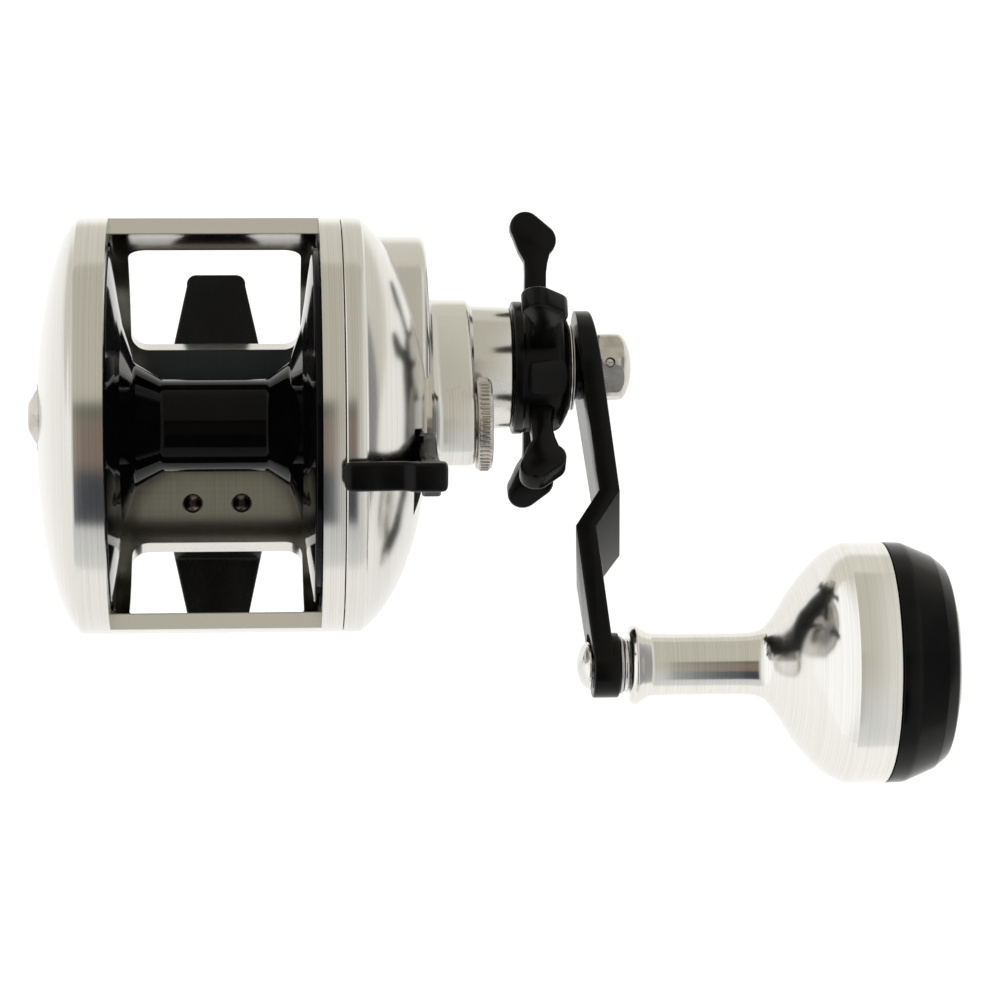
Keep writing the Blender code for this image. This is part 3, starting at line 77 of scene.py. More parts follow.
# ------------------------------------------------------------ places from the CAD
SPOOL_AXIS = middle("spool_shaft")
CRANK_AXIS = middle("gear_shaft")
KNOB_AXIS = middle("knob_spindle")
PLATE_R = (high("frame").y - low("frame").y) / 2
SEAM = high("frame").x
PLATE_X = low("side_plate").x
LEFT_TIP = low("frame").x
SLEEVE_END = high("side_plate").x
STAR_X = low("star_drag_wheel").x
STAR_END = high("star_drag_wheel").x
NUT_X = low("handle_nut").x
CAP_END = high("tension_cap").x
BUTTON_TIP = low("click_button").x
KNOB_X = low("knob_body").x
KNOB_BAND_END = high("knob_body").x

# -------------------------------------------------------------------- other sizes
INNER_X = 18.6
RING_LEFT = -24.3
BORE_R = 33.0
TUBE_R = PLATE_R - 2.9
DOME_X = 26.0
CASE_END = 38.5
BOSS_END = 46.5
CASE_R = 24.4
FINE = 168               # segments of the large turned pieces
ROUND = 96               # segments of the smaller ones


# ------------------------------------------------------------------ shader values
class Value:
    """A shader socket that takes part in Python sums."""

    def __init__(self, tree, socket):
        self.tree = tree
        self.socket = socket

    def maths(self, operation, *operands):
        node = self.tree.nodes.new("ShaderNodeMath")
        node.operation = operation
        for place, operand in zip(node.inputs, operands):
            feed(self.tree, place, operand)
        return Value(self.tree, node.outputs[0])

    def __add__(self, other):
        return self.maths("ADD", self, other)

    def __sub__(self, other):
        return self.maths("SUBTRACT", self, other)

    def __mul__(self, other):
        return self.maths("MULTIPLY", self, other)

    def __truediv__(self, other):
        return self.maths("DIVIDE", self, other)

    def __pow__(self, other):
        return self.maths("POWER", self, other)

    def __radd__(self, other):
        return self.maths("ADD", other, self)

    def __rsub__(self, other):
        return self.maths("SUBTRACT", other, self)

    def __rmul__(self, other):
        return self.maths("MULTIPLY", other, self)

    def __rtruediv__(self, other):
        return self.maths("DIVIDE", other, self)

    def sqrt(self):
        return self.maths("SQRT", self)

    def sine(self):
        return self.maths("SINE", self)

    def cosine(self):
        return self.maths("COSINE", self)

    def around(self, other):
        return self.maths("ARCTAN2", self, other)

    def ramp(self, start, end):
        """0 before start, 1 after end."""
        node = self.tree.nodes.new("ShaderNodeMapRange")
        node.interpolation_type = "SMOOTHSTEP"
        for place, operand in zip(node.inputs, (self, start, end, 0.0, 1.0)):
            feed(self.tree, place, operand)
        return Value(self.tree, node.outputs[0])


def feed(tree, place, operand):
    """Link a value to a socket, or set the socket to a constant."""
    if isinstance(operand, Value):
        tree.links.new(operand.socket, place)
    elif operand is not None:
        place.default_value = operand


class Surface:
    """A node material while it is being made."""

    def __init__(self, name):
        self.material = bpy.data.materials.new(name)
        self.material.use_nodes = True
        self.tree = self.material.node_tree
        self.shader = self.tree.nodes["Principled BSDF"]
        place = self.node("ShaderNodeTexCoord").outputs["Object"]
        parts = self.node("ShaderNodeSeparateXYZ", Vector=Value(self.tree, place))
        self.x, self.y, self.z = (Value(self.tree, parts.outputs[axis]) / MM for axis in range(3))

    def node(self, kind, settings=(), **inputs):
        node = self.tree.nodes.new(kind)
        for key, setting in dict(settings).items():
            setattr(node, key, setting)
        for key, operand in inputs.items():
            feed(self.tree, node.inputs[key], operand)
        return node

    def vector(self, x, y, z):
        return Value(self.tree, self.node("ShaderNodeCombineXYZ", X=x, Y=y, Z=z).outputs[0])

    def noise(self, x, y, z, detail=3.0, roughness=0.5):
        """Noise from 0 to 1 over three values."""
        node = self.node("ShaderNodeTexNoise", Vector=self.vector(x, y, z), Scale=1.0, Detail=detail,
                         Roughness=roughness)
        return Value(self.tree, node.outputs[0])

    def mix(self, first, second, share):
        node = self.node("ShaderNodeMix", {"data_type": "RGBA"})
        feed(self.tree, node.inputs[0], share)
        for place, colour in ((6, first), (7, second)):
            feed(self.tree, node.inputs[place], colour if isinstance(colour, Value) else (*colour, 1.0))
        return Value(self.tree, node.outputs[2])

    def bump(self, height, depth, strength=1.0):
        node = self.node("ShaderNodeBump", Height=height, Distance=depth * MM, Strength=strength)
        feed(self.tree, self.shader.inputs["Normal"], Value(self.tree, node.outputs[0]))

    def set(self, **inputs):
        for key, operand in inputs.items():
            place = self.shader.inputs[key.replace("_", " ")]
            if isinstance(operand, tuple):
                operand = (*operand, 1.0)
            feed(self.tree, place, operand)

    def polar(self, axis):
        """Radius and angle about an axis along X."""
        across, up = self.y - axis[0], self.z - axis[1]
        return (across * across + up * up).sqrt(), up.around(across)


def turned_metal(name, axis, colour, dark, roughness, groove=0.0016, lines=9.0, inside=None):
    """Metal from the lathe: fine rings about the axis, with painted shade (a dark olive tone for shadow and the dark
    spool's painted reflection) within the inside radius.
    """
    surface = Surface(name)
    radius, angle = surface.polar(axis)
    rings = surface.noise(surface.x * lines, radius * lines, angle.sine() * 0.6, detail=4.0, roughness=0.65)
    fine = surface.noise(surface.x * lines * 4, radius * lines * 4, angle.cosine() * 1.5, detail=2.0)
    cloud = surface.noise(surface.x * 0.12, surface.y * 0.12, surface.z * 0.12, detail=4.0)
    skin = surface.mix(dark, colour, rings.ramp(0.30, 0.62))
    if inside:
        # painted shade: a dark olive tone on the faces inside the frame's tube, standing for shadow and the dark
        # spool's reflection
        painted_shade = surface.mix(PAINTED_SHADE_DARK, PAINTED_SHADE, fine.ramp(0.30, 0.70))
        inner = (1.0 - radius.ramp(inside - 0.1, inside + 0.3)) * surface.x.ramp(RING_LEFT, RING_LEFT + 1.5)
        skin = surface.mix(skin, painted_shade, inner)
    surface.set(Base_Color=skin, Roughness=roughness * (0.75 + 0.35 * rings + 0.25 * cloud), Metallic=1.0)
    surface.bump(rings * 0.7 + fine * 0.5, groove)
    return surface.material


def rubbed_metal(name, colour, dark, roughness):
    """Metal polished by hand: short fine scratches and a little haze."""
    surface = Surface(name)
    scratch = surface.noise(surface.x * 1.2, surface.y * 22.0, surface.z * 22.0, detail=3.0)
    cloud = surface.noise(surface.x * 0.35, surface.y * 0.35, surface.z * 0.35, detail=5.0)
    surface.set(Base_Color=surface.mix(dark, colour, cloud.ramp(0.25, 0.6)),
                Roughness=roughness * (0.7 + 0.4 * scratch + 0.3 * cloud), Metallic=1.0)
    surface.bump(scratch, 0.0012)
    return surface.material


def anodised_black(name, axis, colour, roughness, ior):
    """Black anodising over fine lathe rings."""
    surface = Surface(name)
    radius, angle = surface.polar(axis)
    rings = surface.noise(surface.x * 7.0, radius * 7.0, angle.sine() * 0.4, detail=3.0)
    cloud = surface.noise(surface.x * 0.2, surface.y * 0.2, surface.z * 0.2, detail=4.0)
    surface.set(Base_Color=surface.mix(colour, tuple(part * 2.2 for part in colour), cloud.ramp(0.35, 0.75)),
                Roughness=roughness * (0.8 + 0.5 * rings), Metallic=0.0, IOR=ior)
    surface.bump(rings, 0.0008)
    return surface.material


def satin_black(name, colour, roughness):
    """Bead-blasted black: a fine grain, and slightly worn high spots."""
    surface = Surface(name)
    grain = surface.noise(surface.x * 6.0, surface.y * 6.0, surface.z * 6.0, detail=4.0, roughness=0.7)
    cloud = surface.noise(surface.x * 0.3, surface.y * 0.3, surface.z * 0.3, detail=4.0)
    worn = tuple(part * 2.2 + 0.001 for part in colour)
    surface.set(Base_Color=surface.mix(colour, worn, (grain * 0.5 + cloud * 0.5).ramp(0.45, 0.75)),
                Roughness=roughness * (0.8 + 0.4 * grain), Metallic=0.0, IOR=1.23)
    surface.bump(grain, 0.003)
    return surface.material


def woven_fibre(name):
    """Woven composite of the drag washers."""
    surface = Surface(name)
    weave = (surface.y * 5.0).sine() * (surface.z * 5.0).sine()
    grain = surface.noise(surface.x * 5.0, surface.y * 5.0, surface.z * 5.0)
    surface.set(Base_Color=surface.mix((0.03, 0.028, 0.025), (0.10, 0.09, 0.08), (weave * 0.5 + grain).ramp(0.2, 0.9)),
                Roughness=0.85, Metallic=0.0)
    surface.bump(weave, 0.02)
    return surface.material


SILVER = (0.68, 0.668, 0.64)
SILVER_DARK = (0.56, 0.55, 0.52)
# dark olive colours of the painted shade and painted reflection inside the frame
PAINTED_SHADE = (0.15, 0.144, 0.118)
PAINTED_SHADE_DARK = (0.09, 0.087, 0.072)
# inside=TUBE_R puts the painted shade on the frame's inner faces
frame_silver = turned_metal("turned_aluminium_frame", SPOOL_AXIS, SILVER, SILVER_DARK, 0.15, inside=TUBE_R)
case_silver = turned_metal("turned_aluminium_case", SPOOL_AXIS, SILVER, SILVER_DARK, 0.17, groove=0.0012)
knob_silver = turned_metal("polished_aluminium_knob", KNOB_AXIS, (0.75, 0.74, 0.71), (0.65, 0.64, 0.61), 0.13,
                           groove=0.0008)
inner_silver = turned_metal("milled_aluminium", SPOOL_AXIS, SILVER_DARK, (0.5, 0.49, 0.47), 0.34)
spool_black = anodised_black("polished_black_anodising", SPOOL_AXIS, (0.0014, 0.0014, 0.0019), 0.06, 1.2)
ring_black = anodised_black("black_anodised_ring", KNOB_AXIS, (0.0018, 0.0018, 0.0018), 0.15, 1.22)
blasted_black = satin_black("satin_black", (0.002, 0.002, 0.002), 0.22)
foot_black = satin_black("black_foot_coat", (0.0026, 0.0028, 0.0027), 0.26)
nickel = rubbed_metal("satin_nickel", (0.56, 0.535, 0.50), (0.40, 0.385, 0.36), 0.24)
bright_nickel = rubbed_metal("bright_nickel", (0.72, 0.71, 0.69), (0.60, 0.59, 0.57), 0.14)
steel = rubbed_metal("satin_steel", (0.60, 0.60, 0.60), (0.45, 0.45, 0.46), 0.30)
screw_brown = rubbed_metal("browned_steel", (0.20, 0.16, 0.14), (0.10, 0.085, 0.075), 0.26)
brass = rubbed_metal("machined_brass", (0.74, 0.56, 0.28), (0.55, 0.40, 0.18), 0.28)
fibre = woven_fibre("drag_fibre")
FINISH_OF_SLOT = {"silver": inner_silver, "black_anodised": spool_black, "black_satin": blasted_black,
                  "nickel": nickel, "steel": steel, "brass": brass, "fibre": fibre}


# ------------------------------------------------------------------- shape makers
def shape(name, bm):
    """Close a mesh drawn in millimetres and make its object."""
    bmesh.ops.remove_doubles(bm, verts=bm.verts, dist=0.0004)
    bmesh.ops.recalc_face_normals(bm, faces=bm.faces)
    bmesh.ops.scale(bm, vec=(MM, MM, MM), verts=bm.verts)
    mesh = bpy.data.meshes.new(name)
    bm.to_mesh(mesh)
    bm.free()
    solid = bpy.data.objects.new(name, mesh)
    bpy.context.scene.collection.objects.link(solid)
    return solid


def fillet(points, steps=4):
    """Round the corners of a profile; a point's third value is its radius."""
    rounded = []
    for number, point in enumerate(points):
        here = Vector(point[:2])
        if len(point) < 3:
            rounded.append(tuple(here))
            continue
        before = (Vector(points[number - 1][:2]) - here).normalized()
        after = (Vector(points[(number + 1) % len(points)][:2]) - here).normalized()
        half = before.angle(after) / 2
        centre = here + (before + after).normalized() * point[2] / math.sin(half)
        start = here + before * point[2] / math.tan(half) - centre
        sweep = start.angle_signed(here + after * point[2] / math.tan(half) - centre)
        for step in range(steps + 1):
            turn = -sweep * step / steps
            rounded.append((centre.x + start.x * math.cos(turn) - start.y * math.sin(turn),
                            centre.y + start.x * math.sin(turn) + start.y * math.cos(turn)))
    return rounded


def turned(name, profile, axis, segments=ROUND):
    """Turn a profile of (station, radius) points about an axis along X."""
    bm = bmesh.new()
    profile = fillet(profile)
    spots = [bm.verts.new((station, radius, 0.0)) for station, radius in profile]
    on_axis = profile[0][1] == 0 and profile[-1][1] == 0
    edges = [bm.edges.new(pair) for pair in zip(spots, spots[1:] if on_axis else spots[1:] + spots[:1])]
    bmesh.ops.spin(bm, geom=spots + edges, cent=(0, 0, 0), axis=(1, 0, 0), angle=math.tau, steps=segments,
                   use_merge=True)
    bmesh.ops.translate(bm, verts=bm.verts, vec=(0, *axis))
    return shape(name, bm)


def rod(name, x0, x1, radius, axis, segments=ROUND):
    return turned(name, [(x0, 0), (x0, radius), (x1, radius), (x1, 0)], axis, segments)


def loft(name, loops):
    """Skin a row of closed loops of (x, y, z) points, and cap both ends."""
    bm = bmesh.new()
    rows = [[bm.verts.new(point) for point in loop] for loop in loops]
    for first, second in zip(rows, rows[1:]):
        for a in range(len(first)):
            b = (a + 1) % len(first)
            bm.faces.new([first[a], first[b], second[b], second[a]])
    bm.faces.new(rows[0])
    bm.faces.new(list(reversed(rows[-1])))
    return shape(name, bm)


def arc(centre, radius, start, end, steps):
    """Points along an arc, with its angles in degrees."""
    return [(centre[0] + radius * math.cos(math.radians(start + (end - start) * step / steps)),
             centre[1] + radius * math.sin(math.radians(start + (end - start) * step / steps)))
            for step in range(steps + 1)]


def belt(first, first_r, second, second_r, steps=28):
    """Outline of two circles joined by their outer tangents."""
    across = (second[0] - first[0], second[1] - first[1])
    heading = math.degrees(math.atan2(across[1], across[0]))
    lean = math.degrees(math.acos((first_r - second_r) / math.hypot(*across)))
    return (arc(second, second_r, heading - lean, heading + lean, steps)
            + arc(first, first_r, heading + lean, heading - lean + 360, steps))


def slab(name, outline, x0, x1, edge=0.0):
    """Extrude an outline of (y, z) points along X, with rounded rims."""
    return plate(name, [(0, y, z) for y, z in outline], (x0, 0, 0), (x1, 0, 0), edge)


def plate(name, outline, start, end, edge=0.0):
    """Move an outline of points from start to end to make a solid, with rounded rims."""
    bm = bmesh.new()
    first = bm.faces.new([bm.verts.new(Vector(point) + Vector(start)) for point in outline])
    moved = bmesh.ops.extrude_face_region(bm, geom=[first])
    verts = [item for item in moved["geom"] if isinstance(item, bmesh.types.BMVert)]
    bmesh.ops.translate(bm, verts=verts, vec=Vector(end) - Vector(start))
    if edge:
        along = Vector(end) - Vector(start)
        rims = [rim for rim in bm.edges
                if abs((rim.verts[0].co - rim.verts[1].co).dot(along)) < 1e-6 * along.length]
        bmesh.ops.bevel(bm, geom=rims, offset=edge, segments=3, profile=0.5, affect="EDGES")
    return shape(name, bm)


def combine(body, tool, operation="DIFFERENCE"):
    """Cut a tool solid out of a body, or join it on, and remove the tool."""
    step = body.modifiers.new(operation, "BOOLEAN")
    step.operation = operation
    step.solver = "EXACT"
    step.object = tool
    bpy.context.view_layer.update()
    shaped = bpy.data.meshes.new_from_object(body.evaluated_get(bpy.context.evaluated_depsgraph_get()))
    body.modifiers.clear()
    body.data = shaped
    bpy.data.objects.remove(tool, do_unlink=True)
    return body


def join(body, *tools):
    for tool in tools:
        combine(body, tool, "UNION")
    return body


def cut(body, *tools):
    for tool in tools:
        combine(body, tool)
    return body


def swing(solid, degrees, axis=(0.0, 0.0)):
    """Turn a solid's mesh about an axis along X."""
    place = Matrix.Translation((0, axis[0] * MM, axis[1] * MM))
    solid.data.transform(place @ Matrix.Rotation(math.radians(degrees), 4, "X") @ place.inverted())
    return solid


def finish(solid, material, *nodes, sharp=32.0):
    """Shade a piece, and let it stand for its CAD nodes."""
    solid.data.materials.clear()
    solid.data.materials.append(material)
    solid.data.shade_smooth()
    solid.data.set_sharp_from_angle(angle=math.radians(sharp))
    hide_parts(*nodes)
    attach(solid, BODY_OF[nodes[0]])
    return solid


def dome(base, height, lead, rim, direction, steps):
    """Profile of an elliptical dome, from its rim to the axis."""
    reach = height + lead
    wide = rim / math.sqrt(1 - (lead / reach) ** 2)
    points = []
    for step in range(steps + 1):
        radius = 0.0 if step == steps else rim * math.cos(math.pi / 2 * step / steps)
        points.append((base + direction * (reach * math.sqrt(1 - (radius / wide) ** 2) - lead), radius))
    return points


# -------------------------------------------------------------------------- frame
def sector(start, end, half, inner, outer, corner):
    """Block between two angles about the spool axis, its radial edges rounded."""
    bm = bmesh.new()
    spots = {}
    loop = [(-half, start), (half, start), (half, end), (-half, end)]
    for x, angle in loop:
        for radius in (inner, outer):
            turn = math.radians(angle)
            spots[x, angle, radius] = bm.verts.new((x, SPOOL_AXIS[0] + radius * math.cos(turn),
                                                    SPOOL_AXIS[1] + radius * math.sin(turn)))
    bm.faces.new([spots[x, angle, inner] for x, angle in loop])
    bm.faces.new([spots[x, angle, outer] for x, angle in loop])
    for (x0, a0), (x1, a1) in zip(loop, loop[1:] + loop[:1]):
        bm.faces.new([spots[x0, a0, inner], spots[x1, a1, inner], spots[x1, a1, outer], spots[x0, a0, outer]])
    radial = [bm.edges.get((spots[x, a, inner], spots[x, a, outer])) for x, a in loop]
    bmesh.ops.bevel(bm, geom=radial, offset=corner, segments=8, profile=0.5, affect="EDGES")
    return shape("sector", bm)


def make_frame():
    """Left dome, two rings, two bars and the foot plate, in one piece."""
    outer = list(reversed(dome(RING_LEFT, 7.3, 1.8, PLATE_R - 0.5, -1, 24)))
    outer += [(RING_LEFT + 0.35, PLATE_R - 0.12), (RING_LEFT + 0.8, PLATE_R), (SEAM + 0.2, PLATE_R, 0.2)]
    inner = [(SEAM + 0.2, BORE_R, 0.2), (INNER_X, BORE_R), (INNER_X - 0.2, TUBE_R), (-INNER_X + 0.2, TUBE_R),
             (-INNER_X, BORE_R)]
    hollow = dome(RING_LEFT + 0.8, 5.6, 1.8, BORE_R, -1, 12)
    inner += [(x, r) for x, r in hollow if r > 9.0]
    inner += [(hollow[-2][0], 7.4), (-22.8, 7.4), (-22.8, 5.65), (-27.1, 5.65), (-27.1, 0)]
    body = turned("open_frame", outer + inner, SPOOL_AXIS, FINE)
    far = 60.0
    opening = [(0, 0)] + [(radius * math.cos(math.radians(a)), radius * math.sin(math.radians(a)))
                          for radius, a in ((TUBE_R - 1, 8.4), (PLATE_R + 0.2, 6.4), (far, 6.4), (far, 60),
                                            (far, 120), (far, 172.5))]
    opening = [(y + SPOOL_AXIS[0], z + SPOOL_AXIS[1]) for y, z in opening]
    cut(body, slab("opening", opening, -INNER_X, INNER_X))
    for start, end in ((-58.0, -13.5), (193.5, 238.0)):
        cut(body, sector(start, end, 15.8, TUBE_R - 12, PLATE_R + 11, 3.2))
    for number in range(1, 5):
        y, z = middle("foot_screw_%d" % number)
        x = (low("foot_screw_%d" % number).x + high("foot_screw_%d" % number).x) / 2
        top = high("foot_screw_%d" % number).z
        well = [(top + 3, 0), (top + 3, 1.95), (top - 1.55, 1.95), (top - 1.55, 1.15), (-5, 1.15), (-5, 0)]
        cut(body, upright("well", well, x, y))
    button = (SPOOL_AXIS[0], SPOOL_AXIS[1] + 12.8)
    lower = (button[0], button[1] - 3.2)
    cut(body, slab("button_slot", belt(button, 1.75, lower, 1.75), -40, -26.8))
    cut(body, slab("button_recess", belt(button, 5.9, lower, 5.9), -40, LEFT_TIP + 2.4))
    return finish(body, frame_silver, "frame")


def upright(name, profile, x, y, segments=48):
    """Turn a profile of (z, radius) points about an upright axis."""
    bm = bmesh.new()
    spots = [bm.verts.new((radius, 0.0, z)) for z, radius in fillet(profile)]
    edges = [bm.edges.new(pair) for pair in zip(spots, spots[1:])]
    bmesh.ops.spin(bm, geom=spots + edges, cent=(0, 0, 0), axis=(0, 0, 1), angle=math.tau, steps=segments,
                   use_merge=True)
    bmesh.ops.translate(bm, verts=bm.verts, vec=(x, y, 0))
    return shape(name, bm)


def make_foot():
    """Foot with a saddle and two tapered tongues, rounded all round."""
    side = [(-34.2, 0), (34.2, 0), (34.2, 1.2), (20.5, 2.6), (19.0, 6.5), (-19.0, 6.5), (-20.5, 2.6), (-34.2, 1.2)]
    body = slab("tapered_foot", side, -8.4, 8.4)
    corner = 1.8
    taper = math.degrees(math.atan2(8.4 - 5.6, 34.2 - 19.0))
    right = [(8.4, 19.0)] + arc((5.6 - corner, 34.2 - corner), corner, -taper, 90, 12)
    plan = right + [(-x, y) for x, y in reversed(right)]
    plan += [(-x, -y) for x, y in plan]
    combine(body, plate("plan", [(x, y, 0) for x, y in plan], (0, 0, -5), (0, 0, 15)), "INTERSECT")
    soften(body, 0.45, 35)
    cut(body, rod("saddle", -30, 30, PLATE_R + 0.3, SPOOL_AXIS, 240))
    return finish(body, foot_black, "reel_foot")


def soften(solid, width, angle, segments=3):
    """Round the sharp edges of a simple solid."""
    bm = bmesh.new()
    bm.from_mesh(solid.data)
    bmesh.ops.remove_doubles(bm, verts=bm.verts, dist=1e-6)
    bmesh.ops.dissolve_limit(bm, angle_limit=math.radians(1.0), verts=bm.verts, edges=bm.edges)
    edges = [edge for edge in bm.edges if edge.is_manifold and edge.calc_face_angle(0) > math.radians(angle)]
    bmesh.ops.bevel(bm, geom=edges, offset=width * MM, segments=segments, profile=0.5, affect="EDGES",
                    clamp_overlap=True)
    bm.to_mesh(solid.data)
    bm.free()
    return solid


def make_foot_screws():
    """Domed screws with a hexagonal socket, in the foot plate."""
    for number in range(1, 5):
        node = "foot_screw_%d" % number
        y, z = middle(node)
        x = (low(node).x + high(node).x) / 2
        top, bottom = high(node).z, low(node).z
        profile = [(bottom, 0), (bottom, 1.0), (top - 1.25, 1.0), (top - 1.25, 1.65), (top - 0.75, 1.65, 0.15),
                   (top - 0.2, 1.05), (top - 0.02, 0.6), (top, 0)]
        screw = upright("domed_foot_screw_%d" % number, profile, x, y)
        socket = [(x + 0.7 * math.cos(math.radians(60 * k)), y + 0.7 * math.sin(math.radians(60 * k)), 0)
                  for k in range(6)]
        cut(screw, plate("socket", socket, (0, 0, top - 0.7), (0, 0, top + 1)))
        finish(screw, screw_brown, node)


# --------------------------------------------------------------- right side plate
def make_side_plate():
    """Domed plate, gear case, oblong boss with concave root, and crank sleeve."""
    outer = [(PLATE_X, 0), (PLATE_X, PLATE_R, 0.35), (DOME_X - 0.4, PLATE_R), (DOME_X, PLATE_R - 0.15)]
    body = turned("gear_side_plate", outer + dome(DOME_X + 0.3, 11.8, 5.5, PLATE_R - 0.6, 1, 24), SPOOL_AXIS, FINE)
    case = [(PLATE_X, 0), (PLATE_X, CASE_R, 0.3), (CASE_END, CASE_R, 1.4), (CASE_END, 0)]
    join(body, turned("case", case, CRANK_AXIS, FINE))
    root, lip = 2.2, 0.7
    loops = []
    stations = [(CASE_END - 4, root)]
    stations += [(CASE_END + root * share, root - root * math.sqrt(1 - (1 - share) ** 2)) for share in
                 (0.0, 0.12, 0.3, 0.5, 0.75, 1.0)]
    stations += [(BOSS_END - lip * (1 - math.sin(math.radians(a))), -lip * (1 - math.cos(math.radians(a))))
                 for a in (0, 30, 60, 90)]
    for x, grow in stations:
        outline = belt(CRANK_AXIS, 12.6 + grow, SPOOL_AXIS, 7.5 + grow)
        loops.append([(x, y, z) for y, z in outline])
    join(body, loft("boss", loops))
    sleeve = [(BOSS_END - 2, 0), (BOSS_END - 2, 12.0), (BOSS_END, 12.0, 0.3), (BOSS_END + 0.6, 11.5),
              (SLEEVE_END, 11.2, 0.5), (SLEEVE_END, 0)]
    join(body, turned("sleeve", sleeve, CRANK_AXIS, FINE))
    hollow = [(PLATE_X - 2, 0), (PLATE_X - 2, BORE_R + 0.6), (DOME_X + 0.4, BORE_R + 0.6)]
    hollow += dome(DOME_X + 0.4, 9.5, 5.5, BORE_R + 0.2, 1, 12)
    room = turned("room", hollow, SPOOL_AXIS, ROUND)
    join(room, rod("case_room", PLATE_X - 2, CASE_END - 2.2, CASE_R - 2.2, CRANK_AXIS))
    spool_bores = [(CASE_END - 7, 0), (CASE_END - 7, 5.0), (39.0, 5.0), (39.0, 5.65), (43.7, 5.65), (43.7, 5.95),
                   (BOSS_END + 1, 5.95), (BOSS_END + 1, 0)]
    crank_bores = [(CASE_END - 6, 0), (CASE_END - 6, 8.75), (40.5, 8.75), (40.5, 5.8), (50.2, 5.8), (50.2, 8.75),
                   (SLEEVE_END + 1, 8.75), (SLEEVE_END + 1, 0)]
    join(room, turned("spool_bores", spool_bores, SPOOL_AXIS, 64), turned("crank_bores", crank_bores, CRANK_AXIS, 64))
    cut(body, room)
    slot = arc(SPOOL_AXIS, 23.0, 99.5, 141.5, 30) + arc(SPOOL_AXIS, 16.0, 141.5, 99.5, 24)
    cut(body, slab("lever_slot", slot, DOME_X + 2, BOSS_END))
    for number in range(1, 5):
        cut(body, rod("bore", PLATE_X - 1, DOME_X - 0.7, 0.95, middle("side_plate_screw_%d" % number), 24))
    return finish(body, case_silver, "side_plate")


# -------------------------------------------------------------------------- spool
def make_spool():
    """Black spool: waisted arbor, stepped flanges and hollow outer sides."""
    def side(sign, edge):
        face = [(sign * 9.3, 8.3, 1.6), (sign * (abs(edge) - 4.15), 11.3, 1.3), (sign * (abs(edge) - 2.0), 18.2, 1.2),
                (sign * (abs(edge) - 1.35), 22.4, 3.0), (sign * (abs(edge) - 0.15), 31.8, 0.4)]
        rim = [(sign * (abs(edge) + 0.1), 32.2, 0.3), (sign * (abs(edge) + 1.8), 32.2, 0.35),
               (sign * (abs(edge) + 1.8), 30.6, 0.3), (sign * (abs(edge) + 1.3), 30.0, 0.3),
               (sign * (abs(edge) - 0.6), 16.9), (sign * (abs(edge) - 2.8), 9.1)]
        return face + rim

    right = side(1, 17.5) + [(14.7, 4.4), (19.1, 4.4), (19.1, 2.65)]
    left = side(-1, -18.5) + [(-15.7, 4.4), (-21.5, 4.4), (-21.5, 2.65)]
    body = turned("line_spool", right + list(reversed(left)), SPOOL_AXIS, 192)
    return finish(body, spool_black, "spool", sharp=40)


# ------------------------------------------------------------- caps with knurling
def knurl_tree():
    """Geometry nodes: a ridge repeated round an axis along X, joined to a turned body."""
    tree = bpy.data.node_groups.new("knurl", "GeometryNodeTree")
    face = tree.interface
    for name, kind in (("Body", "NodeSocketGeometry"), ("Ridge", "NodeSocketObject"), ("Count", "NodeSocketInt"),
                       ("Axis", "NodeSocketVector"), ("Finish", "NodeSocketMaterial")):
        face.new_socket(name, in_out="INPUT", socket_type=kind)
    face.new_socket("Body", in_out="OUTPUT", socket_type="NodeSocketGeometry")

    def node(kind, **inputs):
        made = tree.nodes.new(kind)
        for key, operand in inputs.items():
            feed(tree, made.inputs[key], operand)
        return made

    entry = tree.nodes.new("NodeGroupInput")
    given = {socket.name: Value(tree, socket) for socket in entry.outputs if socket.name}
    turn = Value(tree, node("GeometryNodeInputIndex").outputs[0]) * math.tau / given["Count"]
    points = node("GeometryNodePoints", Count=given["Count"], Position=given["Axis"])
    ridge = node("GeometryNodeObjectInfo", Object=given["Ridge"])
    angles = node("ShaderNodeCombineXYZ", X=turn)
    copies = node("GeometryNodeInstanceOnPoints", Points=Value(tree, points.outputs[0]),
                  Instance=Value(tree, ridge.outputs["Geometry"]), Rotation=Value(tree, angles.outputs[0]))
    both = node("GeometryNodeJoinGeometry")
    tree.links.new(copies.outputs[0], both.inputs[0])
    tree.links.new(given["Body"].socket, both.inputs[0])
    real = node("GeometryNodeRealizeInstances", Geometry=Value(tree, both.outputs[0]))
    coated = node("GeometryNodeSetMaterial", Geometry=Value(tree, real.outputs[0]), Material=given["Finish"])
    leave = tree.nodes.new("NodeGroupOutput")
    tree.links.new(coated.outputs[0], leave.inputs[0])
    return tree


KNURL = knurl_tree()


def knurl(body, ridge, count, axis, material):
    """Repeat a ridge round a body and keep the result as plain mesh."""
    step = body.modifiers.new("knurl", "NODES")
    step.node_group = KNURL
    for item in KNURL.interface.items_tree:
        if item.in_out != "INPUT" or item.name == "Body":
            continue
        step[item.identifier] = {"Ridge": ridge, "Count": count, "Axis": (0.0, axis[0] * MM, axis[1] * MM),
                                 "Finish": material}[item.name]
    bpy.context.view_layer.update()
    shaped = bpy.data.meshes.new_from_object(body.evaluated_get(bpy.context.evaluated_depsgraph_get()))
    body.modifiers.clear()
    body.data = shaped
    bpy.data.objects.remove(ridge, do_unlink=True)
    return body


def ridge_along(profile, half, sink=0.5):
    """One knurl ridge: a crest that follows (station, radius) points, sloping to both sides."""
    bm = bmesh.new()
    rows = []
    for x, radius, tall in profile:
        rows.append([bm.verts.new((x, radius - sink, -half)), bm.verts.new((x, radius, -half)),
                     bm.verts.new((x, radius + tall, -half * 0.25)), bm.verts.new((x, radius + tall, half * 0.25)),
                     bm.verts.new((x, radius, half)), bm.verts.new((x, radius - sink, half))])
    for first, second in zip(rows, rows[1:]):
        for a in range(6):
            b = (a + 1) % 6
            bm.faces.new([first[a], first[b], second[b], second[a]])
    bm.faces.new(rows[0])
    bm.faces.new(list(reversed(rows[-1])))
    return shape("ridge", bm)


